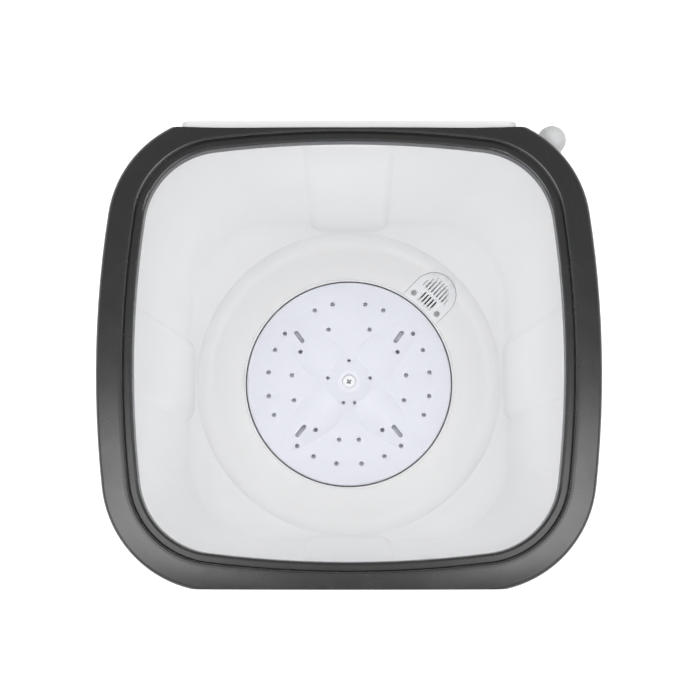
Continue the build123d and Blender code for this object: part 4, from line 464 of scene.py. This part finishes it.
def dial(name, knob, radius, ticks, numbers):
    """Ticks and plain numbers round a knob; each has its turn from the upright."""
    shape = bmesh.new()
    x = mid(knob, 0)
    for turn, length in ticks:
        middle = radius + tick_gap + length / 2
        flat_bar(shape, x + middle * sin(radians(turn)),
                 panel_level + middle * cos(radians(turn)), length, tick_width, turn,
                 print_front, print_back)
    for turn, number in numbers:
        text = bpy.data.curves.new(name, "FONT")
        text.body = number
        text.size = number_size / 1000
        text.extrude = (print_back - print_front) / 2000
        text.align_x = "CENTER"
        text.align_y = "CENTER"
        writing = bpy.data.objects.new(name, text)
        scene.collection.objects.link(writing)
        bpy.context.view_layer.update()
        outline = bpy.data.meshes.new_from_object(writing)
        reach = radius + number_gap
        place = Vector((x + reach * sin(radians(turn)), (print_front + print_back) / 2,
                        panel_level + reach * cos(radians(turn)))) / 1000
        outline.transform(Matrix.Translation(place) @ Matrix.Rotation(radians(90), 4, "X"))
        shape.from_mesh(outline)
        bpy.data.objects.remove(writing)
        bpy.data.meshes.remove(outline)
        bpy.data.curves.remove(text)
    bmesh.ops.remove_doubles(shape, verts=shape.verts, dist=weld_distance)
    add_piece(name, to_mesh(name, shape), print_grey, "machine")


def pointer(name, knob, radius, turn, body):
    """Line in the groove of a knob, from near its middle to near its edge."""
    shape = bmesh.new()
    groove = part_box(knob)[0][1] * 1000 + groove_depth
    front, back = [groove - height for height in line_heights]
    reach = radius * line_middle
    flat_bar(shape, mid(knob, 0) + reach * sin(radians(turn)),
             panel_level + reach * cos(radians(turn)), radius * line_share - line_cut,
             line_width, turn, front, back)
    add_piece(name, to_mesh(name, shape), cap_white, body)


timer_ticks = [(timer_step * i, short_tick if i % timer_steps_per_number else long_tick)
               for i in range(timer_steps + 1)]
timer_numbers = [(timer_step * i, str(i)) for i in range(0, timer_steps + 1,
                                                         timer_steps_per_number)]
dial("timer_dial", "timer_knob", timer_radius, timer_ticks, timer_numbers)
selector_ticks = [(turn, long_tick) for turn in selector_turns]
selector_numbers = [(turn, str(i)) for i, turn in enumerate(selector_turns, 1)]
dial("selector_dial", "selector_knob", selector_radius, selector_ticks, selector_numbers)
pointer("timer_pointer", "timer_knob", timer_radius, 0, "timer")
pointer("selector_pointer", "selector_knob", selector_radius, selector_turns[0], "selector")

# Floor, backdrop and world
floor_size = 14
floor_drop = 0.0005
floor_tone = 0.72
floor_glow = 0.62
wall_radius = 6.8
wall_height = 2.6
wall_steps = 96
sky_strength = 0.3


def floor_material():
    """Pale floor that keeps the shadow and shows white to the camera."""
    mat = bpy.data.materials.new("pale_floor")
    mat.use_nodes = True
    tree = mat.node_tree
    tree.nodes.clear()
    make = tree.nodes.new
    link = tree.links.new
    out = make("ShaderNodeOutputMaterial")
    mix = make("ShaderNodeAddShader")
    paint = make("ShaderNodeBsdfDiffuse")
    paint.inputs["Color"].default_value = (floor_tone, floor_tone, floor_tone, 1)
    glow = make("ShaderNodeEmission")
    glow.inputs["Color"].default_value = (1, 1, 1, 1)
    path = make("ShaderNodeLightPath")
    seen = make("ShaderNodeMath")
    seen.operation = "MAXIMUM"
    seen_too = make("ShaderNodeMath")
    seen_too.operation = "MAXIMUM"
    share = make("ShaderNodeMath")
    share.operation = "MULTIPLY"
    share.inputs[1].default_value = floor_glow
    link(path.outputs["Is Camera Ray"], seen.inputs[0])
    link(path.outputs["Is Glossy Ray"], seen.inputs[1])
    link(seen.outputs[0], seen_too.inputs[0])
    link(path.outputs["Is Transmission Ray"], seen_too.inputs[1])
    link(seen_too.outputs[0], share.inputs[0])
    link(share.outputs[0], glow.inputs["Strength"])
    link(paint.outputs[0], mix.inputs[0])
    link(glow.outputs[0], mix.inputs[1])
    link(mix.outputs[0], out.inputs["Surface"])
    return mat


bpy.ops.mesh.primitive_plane_add(size=floor_size, location=(0, 0, -floor_drop))
floor = bpy.context.object
floor.name = "floor"
floor.data.materials.append(floor_material())

corners = []
for step in range(wall_steps):
    turn = radians(step * 360 / wall_steps)
    for height in (0, wall_height):
        corners.append((wall_radius * cos(turn), wall_radius * sin(turn), height))
panels = [(2 * step, (2 * step + 2) % len(corners), (2 * step + 3) % len(corners), 2 * step + 1)
          for step in range(wall_steps)]
backdrop_mesh = bpy.data.meshes.new("backdrop")
backdrop_mesh.from_pydata(corners, [], panels)
backdrop_mesh.materials.append(floor.data.materials[0])
backdrop = bpy.data.objects.new("backdrop", backdrop_mesh)
scene.collection.objects.link(backdrop)

world = bpy.data.worlds.new("studio")
scene.world = world
world.use_nodes = True
sky = world.node_tree.nodes["Background"]
sky.inputs["Color"].default_value = (1, 1, 1, 1)
sky.inputs["Strength"].default_value = sky_strength

# Lamps: two wide softboxes and a weak one between them face down in front of the machine, and
# a fill behind it lights the inside
row_y = -0.86
row_z = 2.2
row_depth = 1.7
side_x = 1.73
side_width = 2.74
side_power = 40
front_width = 0.7
front_power = 0.7
fill_place = (0, 1.0, 2.6)
fill_aim = (0, 0, 0.6)
fill_size = (1.6, 1.2)
fill_power = 21.5


def softbox(name, place, aim, size, power):
    """Rectangular lamp at one place, turned to face another, that the camera doesn't see."""
    data = bpy.data.lights.new(name, "AREA")
    data.shape = "RECTANGLE"
    data.size, data.size_y = size
    data.energy = power
    lamp = bpy.data.objects.new(name, data)
    lamp.location = place
    lamp.rotation_euler = (Vector(aim) - Vector(place)).to_track_quat("-Z", "Y").to_euler()
    lamp.visible_camera = False
    scene.collection.objects.link(lamp)
    return lamp


for name, x, width, power in (("lamp_left", -side_x, side_width, side_power),
                              ("lamp_right", side_x, side_width, side_power),
                              ("lamp_front", 0, front_width, front_power)):
    softbox(name, (x, row_y, row_z), (x, row_y, 0), (width, row_depth), power)
fill = softbox("lamp_fill", fill_place, fill_aim, fill_size, fill_power)
fill.visible_glossy = False

camera_data = bpy.data.cameras.new("camera")
camera_data.sensor_width = sensor_width
camera_data.lens = focal_pixels / image_pixels * sensor_width
camera_data.shift_x = shift_pixels / image_pixels
camera_data.dof.use_dof = False
camera = bpy.data.objects.new("camera", camera_data)
camera.location = (0, camera_y, camera_z)
camera.rotation_euler = (radians(camera_tilt), 0, 0)
scene.collection.objects.link(camera)
scene.camera = camera
scene.view_settings.view_transform = "Standard"
